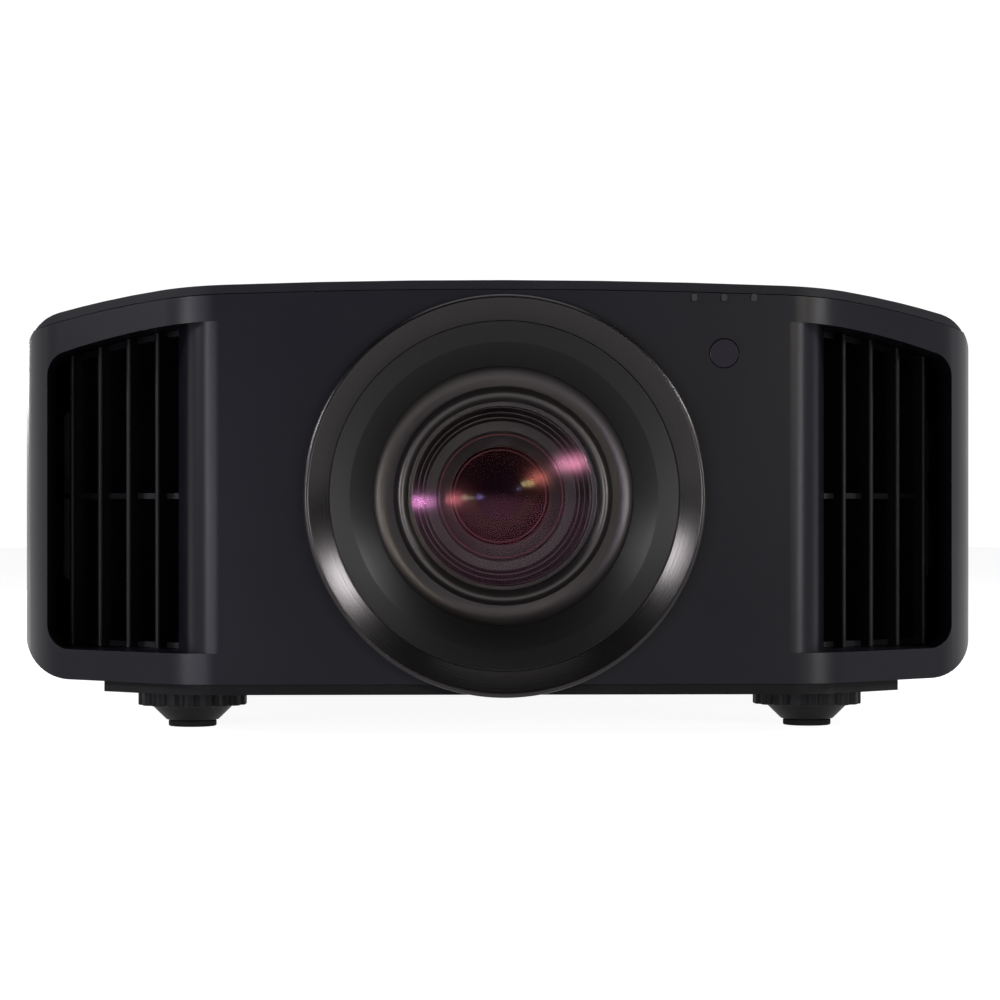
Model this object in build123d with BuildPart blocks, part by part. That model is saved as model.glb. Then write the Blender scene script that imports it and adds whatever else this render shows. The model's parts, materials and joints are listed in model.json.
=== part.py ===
from build123d import *
import math
import os

os.makedirs("parts", exist_ok=True)

# Overall size
WIDTH = 500.0
DEPTH = 495.0
HEIGHT = 234.0

# Casing shells
WALL = 3.0
CORNER_R = 28.0
CROWN_FLAT = 140.0
CROWN_DIP = 2.6
CROWN_SAG = 19.0
PLATE_RISE = 5.5
LID_DROP = 4.5
LIP_SETBACK = 1.2
SEAM_GAP = 0.4
SEAM_SETBACK = 150.0
FLOOR_GAP = 20.0
TRAY_HEIGHT = 5.5
TRAY_FLOOR = 2.5
TRAY_INSET = 4.0
TRAY_SIDE = 46.0
WELL_INSET = 34.0
WELL_SIDE = 62.0

# Plan of the front: a flat middle, then a bend, a straight cheek and a round corner on each side
FLAT_HALF = 145.0
BEND_R = 45.0
BEND_ANGLE = 40.0
SIDE_R = 60.0
REAR_R = 6.0
SIDE_OVER = 1.0
PLATE_WIDTH = 76.0
PLATE_LENGTH = 300.0

# Exhaust vents beside the lens
VENT_BORDER = 15.5
VENT_DROP = 2.5
DUCT_WALL = 2.5
LEAD_START = 143.0
LEAD_R = 18.0
LEAD_ANGLE = 80.0
LEAD_RUN = 33.0
LOUVRE_SETBACK = 40.0
DUCT_DEPTH = 72.0
SLAT_COUNT = 4
SLAT_LENGTH = 25.0
SLAT_THICK = 3.0
SLAT_ANGLE = 35.0
FIRST_SLAT = 12.0
LAST_SLAT = 8.0
RAIL_DEPTH = 9.0
RAIL_THICK = 3.0
FIT_GAP = 0.3

# Lens bezel and baffle
LENS_RISE = 3.0
BEZEL_PROUD = 8.0
BEZEL_R = 101.0
BEZEL_RIM = 1.2
BEZEL_INNER_R = 88.0
BEZEL_CONE = 9.0
SLEEVE_R = 90.0
SLEEVE_LENGTH = 5.0
BAFFLE_FLANGE_R = 97.0
BAFFLE_STEP_R = 78.0
BAFFLE_STEP = 6.0
BAFFLE_LIP_R = 66.0
BAFFLE_LIP = 11.0
BAFFLE_WALL = 2.5

# Remote window and indicator light pipes
WINDOW_R = 7.3
WINDOW_X = 110.4
WINDOW_DROP = 36.7
PIPE_COUNT = 3
PIPE_PITCH = 15.0
PIPE_WIDTH = 3.0
PIPE_HEIGHT = 3.6
PIPE_PROUD = 0.8
PIPE_DROP = 2.6
INSERT_DEPTH = 6.0
FLANGE_LAP = 1.5

# Lens
LENS_SETBACK = 33.5
BARREL_R = 54.0
BARREL_BORE_R = 50.0
COLLAR_R = 76.0
RUN_CLEAR = 0.05
RING_R = 56.0
GLASS_R = 48.5
FOCUS_TRAVEL = 2.5
ZOOM_TRAVEL = 5.0
CELL_LENGTH = 58.0
GEAR_MODULE = 1.0
RING_TEETH = 124
PINION_TEETH = 16
TOOTH_HALF = 0.62
TOOTH_ADDENDUM = 0.8
TOOTH_DEDENDUM = 1.2
FLANK_ANGLE = 20.0
SECTOR_TEETH = 40
GEAR_WIDTH = 16.0
MOTOR_R = 6.0
MOTOR_LENGTH = 26.0
MOTOR_SHAFT_R = 1.5
LUG_THICK = 5.0
FOCUS_ANGLE = 45.0
ZOOM_ANGLE = 135.0
FOCUS_SETBACK = 22.0
ZOOM_SETBACK = 54.0
LUG_GAP = 4.0
PINION_INSET = 1.0
ROOT_LAP = 0.1
NOSE_DEPTH = 3.0
RING_DEPTH = 7.0
TUBE_LENGTH = 24.0
SEAT_DEPTH = 10.0
SEAT_LIP = 2.5
STOP_GAP = 1.0
GLASS_RECESS = 2.0
FRONT_DOME = 5.0
INNER_DOME = 4.0
BARREL_FLANGE = 6.0
BARREL_FLANGE_R = 57.0
TAIL_WALL = 5.0
DISH_DEPTH = 9.0
DISH_START = 4.0
DISH_MIDDLE = 12.0
COLLAR_THICK = 3.0
COLLAR_LAP = 6.0
CELL_WALL = 4.0
CELL_STEPS = (39.0, 34.0, 26.0)
STEP_DEPTH = 9.0

# Lens shift stages
SHIFT_V = 6.5
SHIFT_H = 5.2
STAGE_THICK = 14.0
STAGE_GAP = 2.0
FRAME_THICK = 8.0
FRAME_HALF = 110.0
FRAME_RISE = 86.0
V_HALF_X = 92.8
V_HALF_Z = 70.0
H_HALF_X = 70.0
H_HALF_Z = 60.0
RAIL_WIDTH = 10.0
TONGUE = 4.0
TONGUE_THICK = 5.6
SLIDE_CLEAR = 0.2
TAIL_R = 47.0
V_SCREW_R = 3.0
H_SCREW_R = 2.5
V_SCREW_X = 80.0
H_SCREW_RISE = 54.0
SHIFT_LUG = 6.0
SHIFT_SPARE = 1.5
SHIFT_MOTOR_R = 7.0
SHIFT_MOTOR_LENGTH = 8.0
SHAFT_GRIP = 6.0

# Light engine
ENGINE_SETBACK = 197.5
ENGINE_HALF = 70.0
ENGINE_LENGTH = 130.0
ENGINE_TOP = 185.0
ENGINE_WALL = 4.0
PRISM = 40.0
PRISM_SETBACK = 60.0
PANEL_THICK = 4.0
PANEL_WIDTH = 34.0
PANEL_TALL = 28.0
LASER_DEPTH = 30.0
LASER_WIDTH = 50.0
LASER_SETBACK = 105.0
SINK_BASE = 5.0
SINK_LENGTH = 90.0
SINK_TALL = 100.0
FIN_COUNT = 12
FIN_THICK = 1.6
FIN_REACH = 45.0

# Fans
FAN_DEPTH = 25.0
EXHAUST_SIZE = 92.0
FAN_GAP = 11.5
EXHAUST_INSET = 62.0
INTAKE_SIZE = 140.0
FAN_RIM = 3.0
FAN_TIP_GAP = 1.2
FAN_BLADES = 7
BLADE_PITCH = 50.0
BLADE_THICK = 2.0
HUB_R = 17.0
STRUT_THICK = 4.0
FAN_SHAFT_R = 2.0

# Boards
BOARD_THICK = 1.6
BOARD_POST = 16.0
POST_R = 4.0
SUPPLY_WIDTH = 100.0
SUPPLY_LENGTH = 210.0
SUPPLY_X = -135.0
SUPPLY_Y = 85.0
MAIN_INSET = 75.0
MAIN_RIGHT = 45.0
MAIN_LOW = 55.0
MAIN_HIGH = 195.0
BOARD_GAP = 16.0
TRANSFORMER_TALL = 34.0
CAPACITOR_R = 13.0
CAPACITOR_TALL = 38.0
COOLER_THICK = 6.0
COOLER_TALL = 46.0
CHOKE_R = 15.0
CHOKE_BORE_R = 6.0
CHOKE_TALL = 18.0
PROCESSOR = 44.0
MEMORY_WIDTH = 14.0
MEMORY_TALL = 10.0
MEMORY_PITCH_X = 20.0
MEMORY_PITCH_Z = 16.0
CHIP_REACH = 60.0

# Rear panel
REAR_BORDER = 14.0
REAR_FLANGE = 6.0
FLANGE_THICK = 2.5
REAR_INSET = 1.5
DOOR_INSET = 92.0
DOOR_RISE = 2.0
DOOR_WIDTH = 130.0
DOOR_HEIGHT = 124.0
DOOR_THICK = 4.0
DOOR_GAP = 0.4
DOOR_SLOTS = 12
SLOT_TALL = 5.0
PIVOT_R = 1.2
PIVOT_LENGTH = 4.0
FILTER_THICK = 10.0
POCKET_WALL = 3.0
INLET_GAP = 22.0
INLET_Z = 66.0
INLET_WIDTH = 27.0
INLET_TALL = 20.0
INLET_DEPTH = 22.0
INLET_PLATE_WIDTH = 44.0
INLET_PLATE_TALL = 32.0
SOCKET_Z = 78.0
SOCKET_PLATE_X = -29.0
SOCKET_PLATE_WIDTH = 110.0
SOCKET_PLATE_TALL = 30.0
SOCKET_WALL = 0.8
SOCKET_SPARE = 0.3

# Buttons on the rear panel
BUTTON_TRAVEL = 0.8
BUTTON_PROUD = 1.0
BUTTON_GAP = 0.3
BUTTON_FLANGE = 1.5
STEM_R = 2.0
SWITCH_SIZE = 6.0
SWITCH_TALL = 3.5
PAD_INSET = 65.0
PAD_Z = 160.0
KEY_REACH = 17.0
KEY_R = 4.5
OK_R = 6.0
POWER_INSET = 20.0
POWER_R = 6.5

# Feet and threaded inserts
FOOT_INSET = 89.0
FOOT_FRONT = 76.0
FOOT_REAR = 62.0
KNOB_R = 28.3
KNOB_TALL = 8.4
KNOB_FLUTES = 18
FLUTE_R = 3.4
CONE_TOP_R = 21.5
CONE_LOW_R = 13.5
FOOT_PAD_R = 12.5
FOOT_PAD_TALL = 3.0
PAD_POST_R = 5.0
PAD_POST = 6.0
FOOT_GAP = 0.4
STUD_R = 3.0
STUD_LENGTH = 15.5
INSERT_R = 5.0
BOSS_R = 9.0
BOSS_TALL = 13.5
MOUNT_HALF_X = 130.0
MOUNT_FRONT = -30.0
MOUNT_REAR = 150.0

# Case screws
SCREW_R = 1.5
SCREW_HEAD_R = 3.0
SCREW_HEAD = 2.0
SCREW_LENGTH = 13.0
SCREW_BOSS_R = 4.5
SCREW_SEAM = 54.5
SCREW_REAR = 32.5
SCREW_FRONT_X = 120.0
SCREW_FRONT_INSET = 20.0

# Levels and places that follow from the sizes above
SHELL_BOTTOM = FLOOR_GAP + TRAY_HEIGHT
TRAY_TOP = FLOOR_GAP + TRAY_FLOOR
CROWN_TOP = HEIGHT - PLATE_RISE
LENS_Z = HEIGHT / 2 + LENS_RISE
WINDOW_Z = CROWN_TOP - WINDOW_DROP
DOOR_X = WIDTH / 2 - DOOR_INSET
DOOR_Z = LENS_Z + DOOR_RISE
MAIN_LEFT = MAIN_INSET - WIDTH / 2
INLET_X = MAIN_LEFT - INLET_GAP
PAD_X = MAIN_LEFT + PAD_INSET
POWER_X = MAIN_LEFT + POWER_INSET
TRAY_HALF = WIDTH / 2 - TRAY_SIDE
WELL_HALF = WIDTH / 2 - WELL_SIDE
REAR_Y = DEPTH / 2
BEZEL_Y = -DEPTH / 2
FRONT_Y = BEZEL_Y + BEZEL_PROUD
SEAM_Y = FRONT_Y + SEAM_SETBACK
BEND_SIN = math.sin(math.radians(BEND_ANGLE))
BEND_COS = math.cos(math.radians(BEND_ANGLE))
BEND_END_X = FLAT_HALF + BEND_R * BEND_SIN
BEND_END_Y = FRONT_Y + BEND_R * (1 - BEND_COS)
CHEEK_END_X = WIDTH / 2 - SIDE_R * (1 - BEND_SIN)
CHEEK_END_Y = BEND_END_Y + (CHEEK_END_X - BEND_END_X) * BEND_SIN / BEND_COS
LENS_Y = BEZEL_Y + LENS_SETBACK
ENGINE_Y = BEZEL_Y + ENGINE_SETBACK
PRISM_Y = ENGINE_Y + PRISM_SETBACK
LASER_Y = ENGINE_Y + LASER_SETBACK
PANEL_Y = REAR_Y - REAR_INSET
PANEL_IN = PANEL_Y - WALL
LENS_AXIS = Axis((0, 0, LENS_Z), (0, 1, 0))
TURN_PLANE = Plane((0, 0, LENS_Z), x_dir=(0, 1, 0), z_dir=(1, 0, 0))
LOW = (Align.CENTER, Align.CENTER, Align.MIN)


def wall_plane(y, z=0.0):
    """An upright plane at depth y whose extrusions run towards the front."""
    return Plane((0, y, z), x_dir=(1, 0, 0), z_dir=(0, -1, 0))


def save(piece, name):
    """Label a finished piece and write it to its own file."""
    piece.label = name
    export_step(piece, f"parts/{name}.step")


def front_outline(inset, drop=0.0):
    """The casing's outline seen from the front, drawn inside it by an inset, its top lower by a drop."""
    half = WIDTH / 2 + SIDE_OVER - inset
    low = SHELL_BOTTOM + inset
    top = CROWN_TOP - inset - drop
    with BuildSketch(Plane.XZ) as outline:
        with BuildLine():
            crown = ThreePointArc((-CROWN_FLAT, top - CROWN_DIP), (0, top), (CROWN_FLAT, top - CROWN_DIP))
            right = TangentArc(crown @ 1, (half, top - CROWN_SAG), tangent=crown % 1)
            left = TangentArc(crown @ 0, (-half, top - CROWN_SAG), tangent=-(crown % 0))
            Polyline(right @ 1, (half, low), (-half, low), left @ 1)
        make_face()
        fillet(outline.vertices().sort_by(lambda corner: abs(corner.X))[-4:], radius=CORNER_R - inset)
    return outline.sketch


def under_crown(drop):
    """Everything below the casing's crown when that is lowered by a drop."""
    half = WIDTH / 2
    top = CROWN_TOP - drop
    with BuildSketch(Plane.XZ) as region:
        with BuildLine():
            crown = ThreePointArc((-CROWN_FLAT, top - CROWN_DIP), (0, top), (CROWN_FLAT, top - CROWN_DIP))
            right = TangentArc(crown @ 1, (half, top - CROWN_SAG), tangent=crown % 1)
            left = TangentArc(crown @ 0, (-half, top - CROWN_SAG), tangent=-(crown % 0))
            Polyline(right @ 1, (WIDTH, top - CROWN_SAG), (WIDTH, 0), (-WIDTH, 0),
                     (-WIDTH, top - CROWN_SAG), left @ 1)
        make_face()
    return region.sketch


def plan_outline(inset, height=0.0, shift=0.0):
    """The casing's outline seen from above, drawn inside it by an inset."""
    with BuildSketch(Plane.XY.offset(height)) as plan:
        with BuildLine():
            face = Line((0, FRONT_Y + shift), (FLAT_HALF, FRONT_Y + shift))
            bend = JernArc(face @ 1, face % 1, BEND_R, BEND_ANGLE)
            cheek = Line(bend @ 1, (CHEEK_END_X, CHEEK_END_Y + shift))
            turn = JernArc(cheek @ 1, cheek % 1, SIDE_R, 90 - BEND_ANGLE)
            side = Line(turn @ 1, (WIDTH / 2, REAR_Y - REAR_R + shift))
            corner = JernArc(side @ 1, side % 1, REAR_R, 90)
            Line(corner @ 1, (0, REAR_Y + shift))
            mirror(about=Plane.YZ)
        make_face()
        if inset:
            offset(amount=-inset)
    return plan.sketch


def casing(plan_inset, outline_inset):
    """A solid block of the casing's shape, drawn inside it by two insets."""
    return tall(plan_outline(plan_inset)) & through(front_outline(outline_inset))


def tall(sketch):
    """A plan sketch drawn up through the full height."""
    return extrude(sketch, amount=HEIGHT)


def through(sketch):
    """A front-view sketch drawn through the full depth."""
    return extrude(sketch, amount=DEPTH, both=True)


def slice_y(start, end):
    """A block across the whole casing between two depths."""
    return Pos(0, (start + end) / 2, HEIGHT / 2) * Box(2 * WIDTH, end - start, 2 * HEIGHT)


def slice_x(start, end):
    """A block through the whole casing between two places across it."""
    return Pos((start + end) / 2, 0, HEIGHT / 2) * Box(end - start, 2 * DEPTH, 2 * HEIGHT)


def cheek_y(x):
    """Depth of the casing's front surface at a distance x from the middle."""
    if x <= FLAT_HALF:
        return FRONT_Y
    if x <= BEND_END_X:
        return FRONT_Y + BEND_R - math.sqrt(BEND_R ** 2 - (x - FLAT_HALF) ** 2)
    if x <= CHEEK_END_X:
        return BEND_END_Y + (x - BEND_END_X) * BEND_SIN / BEND_COS
    turn = math.asin(min(BEND_SIN + (x - CHEEK_END_X) / SIDE_R, 1.0))
    return CHEEK_END_Y + SIDE_R * (BEND_COS - math.cos(turn))


# Shapes shared by the shells
SOLID_CASING = casing(0, 0)
HOLLOW = casing(WALL, WALL)
LID_REGION = under_crown(LID_DROP)
PANEL_REGION = under_crown(LID_DROP + SEAM_GAP)
LEAD_END_X = (LEAD_START + LEAD_R * math.sin(math.radians(LEAD_ANGLE))
              + LEAD_RUN * math.cos(math.radians(LEAD_ANGLE)))
VENT_EDGE = WIDTH / 2 - VENT_BORDER
LOUVRE_BACK = cheek_y(VENT_EDGE) + LOUVRE_SETBACK + 2 * RAIL_DEPTH
EXHAUST_Y = LOUVRE_BACK + FAN_GAP + FAN_DEPTH
VENT_OUTLINE = front_outline(VENT_BORDER, VENT_DROP)
DUCT_OUTLINE = front_outline(VENT_BORDER - DUCT_WALL, VENT_DROP)


def vent_plan(margin, back):
    """Plan of the right vent's recess: lead-in curve, open back and outer side."""
    with BuildSketch() as plan:
        with BuildLine():
            curve = JernArc((LEAD_START, FRONT_Y), (1, 0), LEAD_R, LEAD_ANGLE)
            run = PolarLine(curve @ 1, LEAD_RUN, LEAD_ANGLE)
            Polyline(run @ 1, (LEAD_END_X, cheek_y(LEAD_END_X) + back),
                     (WIDTH / 2, cheek_y(VENT_EDGE) + back), (WIDTH / 2, FRONT_Y), curve @ 0)
        make_face()
        if margin:
            offset(amount=margin)
    return plan.sketch


RECESS_PLAN = vent_plan(0, DUCT_DEPTH + DUCT_WALL * 3)
DUCT_PLAN = vent_plan(DUCT_WALL, DUCT_DEPTH)

VENT_RECESS = tall(RECESS_PLAN) & through(VENT_OUTLINE)
VENT_DUCT = tall(DUCT_PLAN) & through(DUCT_OUTLINE) & SOLID_CASING
WELL = extrude(plan_outline(WELL_INSET, TRAY_TOP), amount=SHELL_BOTTOM + WALL - TRAY_TOP)
WELL = WELL & slice_x(-WELL_HALF, WELL_HALF)
CASING_WALL = SOLID_CASING - HOLLOW

# Places of the case screws: two under the front panel, three along each side
SCREW_FRONT = [(side * SCREW_FRONT_X, FRONT_Y + SCREW_FRONT_INSET) for side in (-1, 1)]
SCREW_SIDE_X = (WELL_HALF + TRAY_HALF) / 2
SCREW_FIRST = SEAM_Y + SCREW_SEAM
SCREW_LAST = REAR_Y - SCREW_REAR
SCREW_SIDE_Y = (SCREW_FIRST, (SCREW_FIRST + SCREW_LAST) / 2, SCREW_LAST)
SCREW_SIDE = [(side * SCREW_SIDE_X, y) for side in (-1, 1) for y in SCREW_SIDE_Y]
SCREW_TIP = FLOOR_GAP + SCREW_LENGTH

# Front panel: flat middle, curved cheeks and the two vent ducts
PIPE_Z = CROWN_TOP - CROWN_DIP * (WINDOW_X / CROWN_FLAT) ** 2 - LID_DROP - PIPE_DROP
PIPE_PLACES = [(WINDOW_X + PIPE_PITCH * (i - (PIPE_COUNT - 1) / 2), PIPE_Z) for i in range(PIPE_COUNT)]
FRONT_WALL = CASING_WALL & through(PANEL_REGION) & slice_y(-DEPTH, SEAM_Y - SEAM_GAP)
with BuildPart() as front_panel:
    add(FRONT_WALL)
    add(VENT_DUCT)
    add(VENT_DUCT.mirror(Plane.YZ))
    add(VENT_RECESS, mode=Mode.SUBTRACT)
    add(VENT_RECESS.mirror(Plane.YZ), mode=Mode.SUBTRACT)
    add(WELL, mode=Mode.SUBTRACT)
    with Locations(*[(x, y, SHELL_BOTTOM) for x, y in SCREW_FRONT]):
        Cylinder(SCREW_BOSS_R, SCREW_TIP - SHELL_BOTTOM + WALL, align=LOW)
        Cylinder(SCREW_R, SCREW_TIP - SHELL_BOTTOM, align=LOW, mode=Mode.SUBTRACT)
    with BuildSketch(wall_plane(FRONT_Y, LENS_Z)):
        Circle(SLEEVE_R + FIT_GAP)
    extrude(amount=WALL, both=True, mode=Mode.SUBTRACT)
    with BuildSketch(wall_plane(FRONT_Y)):
        with Locations((WINDOW_X, WINDOW_Z)):
            Circle(WINDOW_R + FIT_GAP)
        with Locations(*PIPE_PLACES):
            Rectangle(PIPE_WIDTH + FIT_GAP, PIPE_HEIGHT + FIT_GAP)
    extrude(amount=WALL, both=True, mode=Mode.SUBTRACT)
save(front_panel.part, "front_panel")

# Top cover: crowned roof and side walls, with a set-back lip over the front panel
LIP_WALL = casing(LIP_SETBACK, 0) - casing(LIP_SETBACK + WALL, WALL)
LIP = (LIP_WALL - through(LID_REGION)) & slice_y(-DEPTH, SEAM_Y)
REAR_OPENING = through(front_outline(REAR_BORDER)) & slice_y(REAR_Y - 2 * WALL, DEPTH)
REAR_WALL = CASING_WALL & slice_y(SEAM_Y, DEPTH)
with BuildPart() as top_cover:
    add(REAR_WALL)
    add(LIP)
    add(WELL, mode=Mode.SUBTRACT)
    add(REAR_OPENING, mode=Mode.SUBTRACT)
    with Locations(*[(x, y, SHELL_BOTTOM) for x, y in SCREW_SIDE]):
        Cylinder(SCREW_BOSS_R, SCREW_TIP - SHELL_BOTTOM + WALL, align=LOW)
        Cylinder(SCREW_R, SCREW_TIP - SHELL_BOTTOM, align=LOW, mode=Mode.SUBTRACT)
save(top_cover.part, "top_cover")

# Raised plate along the middle of the roof
with BuildPart() as top_plate:
    with BuildSketch(Plane.XY.offset(CROWN_TOP - CROWN_SAG)):
        RectangleRounded(PLATE_WIDTH, PLATE_LENGTH, PLATE_WIDTH / 8)
    extrude(amount=CROWN_SAG + PLATE_RISE)
    add(SOLID_CASING, mode=Mode.SUBTRACT)
    chamfer(top_plate.faces().sort_by(Axis.Z)[-1].edges(), PLATE_RISE / 3)
save(top_plate.part, "top_plate")

# Base tray with foot bosses, mount bosses, board posts and fan pedestals
TRAY_BLOCK = extrude(plan_outline(TRAY_INSET, FLOOR_GAP), amount=TRAY_HEIGHT)
TRAY_BLOCK = TRAY_BLOCK & slice_x(-TRAY_HALF, TRAY_HALF)
FOOT_X = WIDTH / 2 - FOOT_INSET
FEET = {
    "front_left": (-FOOT_X, FRONT_Y + FOOT_FRONT),
    "front_right": (FOOT_X, FRONT_Y + FOOT_FRONT),
    "rear_left": (-FOOT_X, REAR_Y - FOOT_REAR),
    "rear_right": (FOOT_X, REAR_Y - FOOT_REAR),
}
MOUNTS = [(side * MOUNT_HALF_X, y) for side in (-1, 1) for y in (MOUNT_FRONT, MOUNT_REAR)]
INSERT_PLACES = list(FEET.values()) + MOUNTS
POST_X = SUPPLY_WIDTH / 2 - POST_R
POST_Y = SUPPLY_LENGTH / 2 - POST_R
POSTS = [(SUPPLY_X + i * POST_X, SUPPLY_Y + j * POST_Y) for i in (-1, 1) for j in (-1, 1)]
FAN_X = WIDTH / 2 - EXHAUST_INSET
FAN_LOW = LENS_Z - EXHAUST_SIZE / 2
with BuildPart() as base_tray:
    add(TRAY_BLOCK)
    add(WELL, mode=Mode.SUBTRACT)
    with Locations(*[(x, y, TRAY_TOP) for x, y in INSERT_PLACES]):
        Cylinder(BOSS_R, BOSS_TALL, align=LOW)
    with Locations(*[(x, y, FLOOR_GAP) for x, y in INSERT_PLACES]):
        Cylinder(INSERT_R, TRAY_FLOOR + BOSS_TALL, align=LOW, mode=Mode.SUBTRACT)
    with Locations(*[(x, y, TRAY_TOP) for x, y in POSTS]):
        Cylinder(POST_R, BOARD_POST, align=LOW)
    with Locations(*[(side * (WELL_HALF - FAN_DEPTH), EXHAUST_Y - FAN_DEPTH / 2, TRAY_TOP)
                     for side in (-1, 1)]):
        Box(FAN_DEPTH * 1.5, FAN_DEPTH / 2, FAN_LOW - TRAY_TOP, align=LOW)
    with Locations(*[(x, y, FLOOR_GAP) for x, y in SCREW_FRONT + SCREW_SIDE]):
        Cylinder(SCREW_R, TRAY_HEIGHT, align=LOW, mode=Mode.SUBTRACT)
        Cylinder(SCREW_HEAD_R, SCREW_HEAD, align=LOW, mode=Mode.SUBTRACT)
save(base_tray.part, "base_tray")

with BuildPart() as threaded_inserts:
    with Locations(*[(x, y, FLOOR_GAP) for x, y in INSERT_PLACES]):
        Cylinder(INSERT_R, TRAY_FLOOR + BOSS_TALL, align=LOW)
        Cylinder(STUD_R + RUN_CLEAR, TRAY_FLOOR + BOSS_TALL, align=LOW, mode=Mode.SUBTRACT)
save(threaded_inserts.part, "threaded_inserts")

with BuildPart() as case_screws:
    with Locations(*[(x, y, FLOOR_GAP) for x, y in SCREW_FRONT + SCREW_SIDE]):
        Cylinder(SCREW_HEAD_R, SCREW_HEAD, align=LOW)
        Cylinder(SCREW_R, SCREW_LENGTH, align=LOW)
        Cylinder(SCREW_R * 0.9, SCREW_HEAD / 2, align=LOW, mode=Mode.SUBTRACT)
save(case_screws.part, "case_screws")

# Levelling feet: a knurled knob on a stud turns over a pad that stays still on the floor
KNOB_TOP = FLOOR_GAP - FOOT_GAP
KNOB_LOW = KNOB_TOP - KNOB_TALL
CONE_LOW = FOOT_PAD_TALL + FOOT_GAP
for place, (foot_x, foot_y) in FEET.items():
    with BuildPart() as foot_pad:
        with Locations((foot_x, foot_y, 0)):
            Cylinder(FOOT_PAD_R, FOOT_PAD_TALL, align=LOW)
            Cylinder(PAD_POST_R, FOOT_PAD_TALL + PAD_POST, align=LOW)
        chamfer(foot_pad.edges().group_by(Axis.Z)[0], FOOT_PAD_TALL / 6)
    save(foot_pad.part, f"foot_pad_{place}")
    with BuildPart() as foot_knob:
        with Locations((foot_x, foot_y, KNOB_LOW)):
            Cylinder(KNOB_R, KNOB_TALL, align=LOW)
            with PolarLocations(KNOB_R + FLUTE_R / 2, KNOB_FLUTES):
                Cylinder(FLUTE_R, KNOB_TALL, align=LOW, mode=Mode.SUBTRACT)
        with Locations((foot_x, foot_y, CONE_LOW)):
            Cone(CONE_LOW_R, CONE_TOP_R, KNOB_LOW - CONE_LOW, align=LOW)
        with Locations((foot_x, foot_y, KNOB_TOP)):
            Cylinder(STUD_R, STUD_LENGTH, align=LOW)
        with Locations((foot_x, foot_y, CONE_LOW)):
            Cylinder(PAD_POST_R + RUN_CLEAR, PAD_POST, align=LOW, mode=Mode.SUBTRACT)
    save(foot_knob.part, f"foot_knob_{place}")

# Louvre insert in each vent: four angled slats, a frame and a middle rib
LOUVRE_BAND = tall(plan_outline(0, shift=LOUVRE_SETBACK + RAIL_DEPTH))
LOUVRE_BAND = LOUVRE_BAND - tall(plan_outline(0, shift=LOUVRE_SETBACK + 2 * RAIL_DEPTH))
LOUVRE_BAND = LOUVRE_BAND & slice_x(LEAD_END_X + FIT_GAP, VENT_EDGE - FIT_GAP) & slice_y(-DEPTH, 0)
LOUVRE_OUTLINE = front_outline(VENT_BORDER + FIT_GAP, VENT_DROP)
LOUVRE_INNER = front_outline(VENT_BORDER + FIT_GAP + RAIL_THICK, VENT_DROP)
LOUVRE_SPACE = through(LOUVRE_OUTLINE) & slice_x(LEAD_END_X + FIT_GAP, WIDTH)
LOUVRE_FRAME = (LOUVRE_BAND & LOUVRE_SPACE) - through(LOUVRE_INNER)
LOUVRE_RIB = LOUVRE_BAND & (Pos(0, 0, LENS_Z) * Box(2 * WIDTH, 2 * DEPTH, RAIL_THICK))
SLAT_FIRST_X = LEAD_END_X + FIRST_SLAT
SLAT_PITCH = (VENT_EDGE - LAST_SLAT - SLAT_FIRST_X) / (SLAT_COUNT - 1)
SLAT_SIN = math.sin(math.radians(SLAT_ANGLE))
SLAT_COS = math.cos(math.radians(SLAT_ANGLE))
with BuildPart() as louvre_slats:
    for i in range(SLAT_COUNT):
        nose_x = SLAT_FIRST_X + i * SLAT_PITCH
        nose_y = cheek_y(nose_x) + LOUVRE_SETBACK
        reach = SLAT_LENGTH / 2
        middle = (nose_x - reach * SLAT_SIN, nose_y + reach * SLAT_COS)
        with BuildSketch():
            with Locations(middle):
                SlotOverall(SLAT_LENGTH, SLAT_THICK, rotation=90 + SLAT_ANGLE)
        extrude(amount=HEIGHT)

with BuildPart() as right_louvre:
    add(LOUVRE_FRAME)
    add(LOUVRE_RIB)
    add(louvre_slats.part & LOUVRE_SPACE)
save(right_louvre.part, "right_louvre")

with BuildPart() as left_louvre:
    add(right_louvre.part.mirror(Plane.YZ))
save(left_louvre.part, "left_louvre")

# Bezel ring around the lens opening and the stepped baffle behind it
SLEEVE_END = FRONT_Y + SLEEVE_LENGTH
with BuildPart() as lens_bezel:
    with BuildSketch(TURN_PLANE):
        with BuildLine():
            Polyline(
                (BEZEL_Y, BEZEL_R - BEZEL_RIM), (BEZEL_Y + BEZEL_RIM, BEZEL_R), (FRONT_Y, BEZEL_R),
                (FRONT_Y, SLEEVE_R), (SLEEVE_END, SLEEVE_R), (SLEEVE_END, BEZEL_INNER_R),
                (BEZEL_Y + BEZEL_CONE, BEZEL_INNER_R), (BEZEL_Y, BEZEL_R - 2 * BEZEL_RIM), close=True)
        make_face()
    revolve(axis=LENS_AXIS)
save(lens_bezel.part, "lens_bezel")

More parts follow.
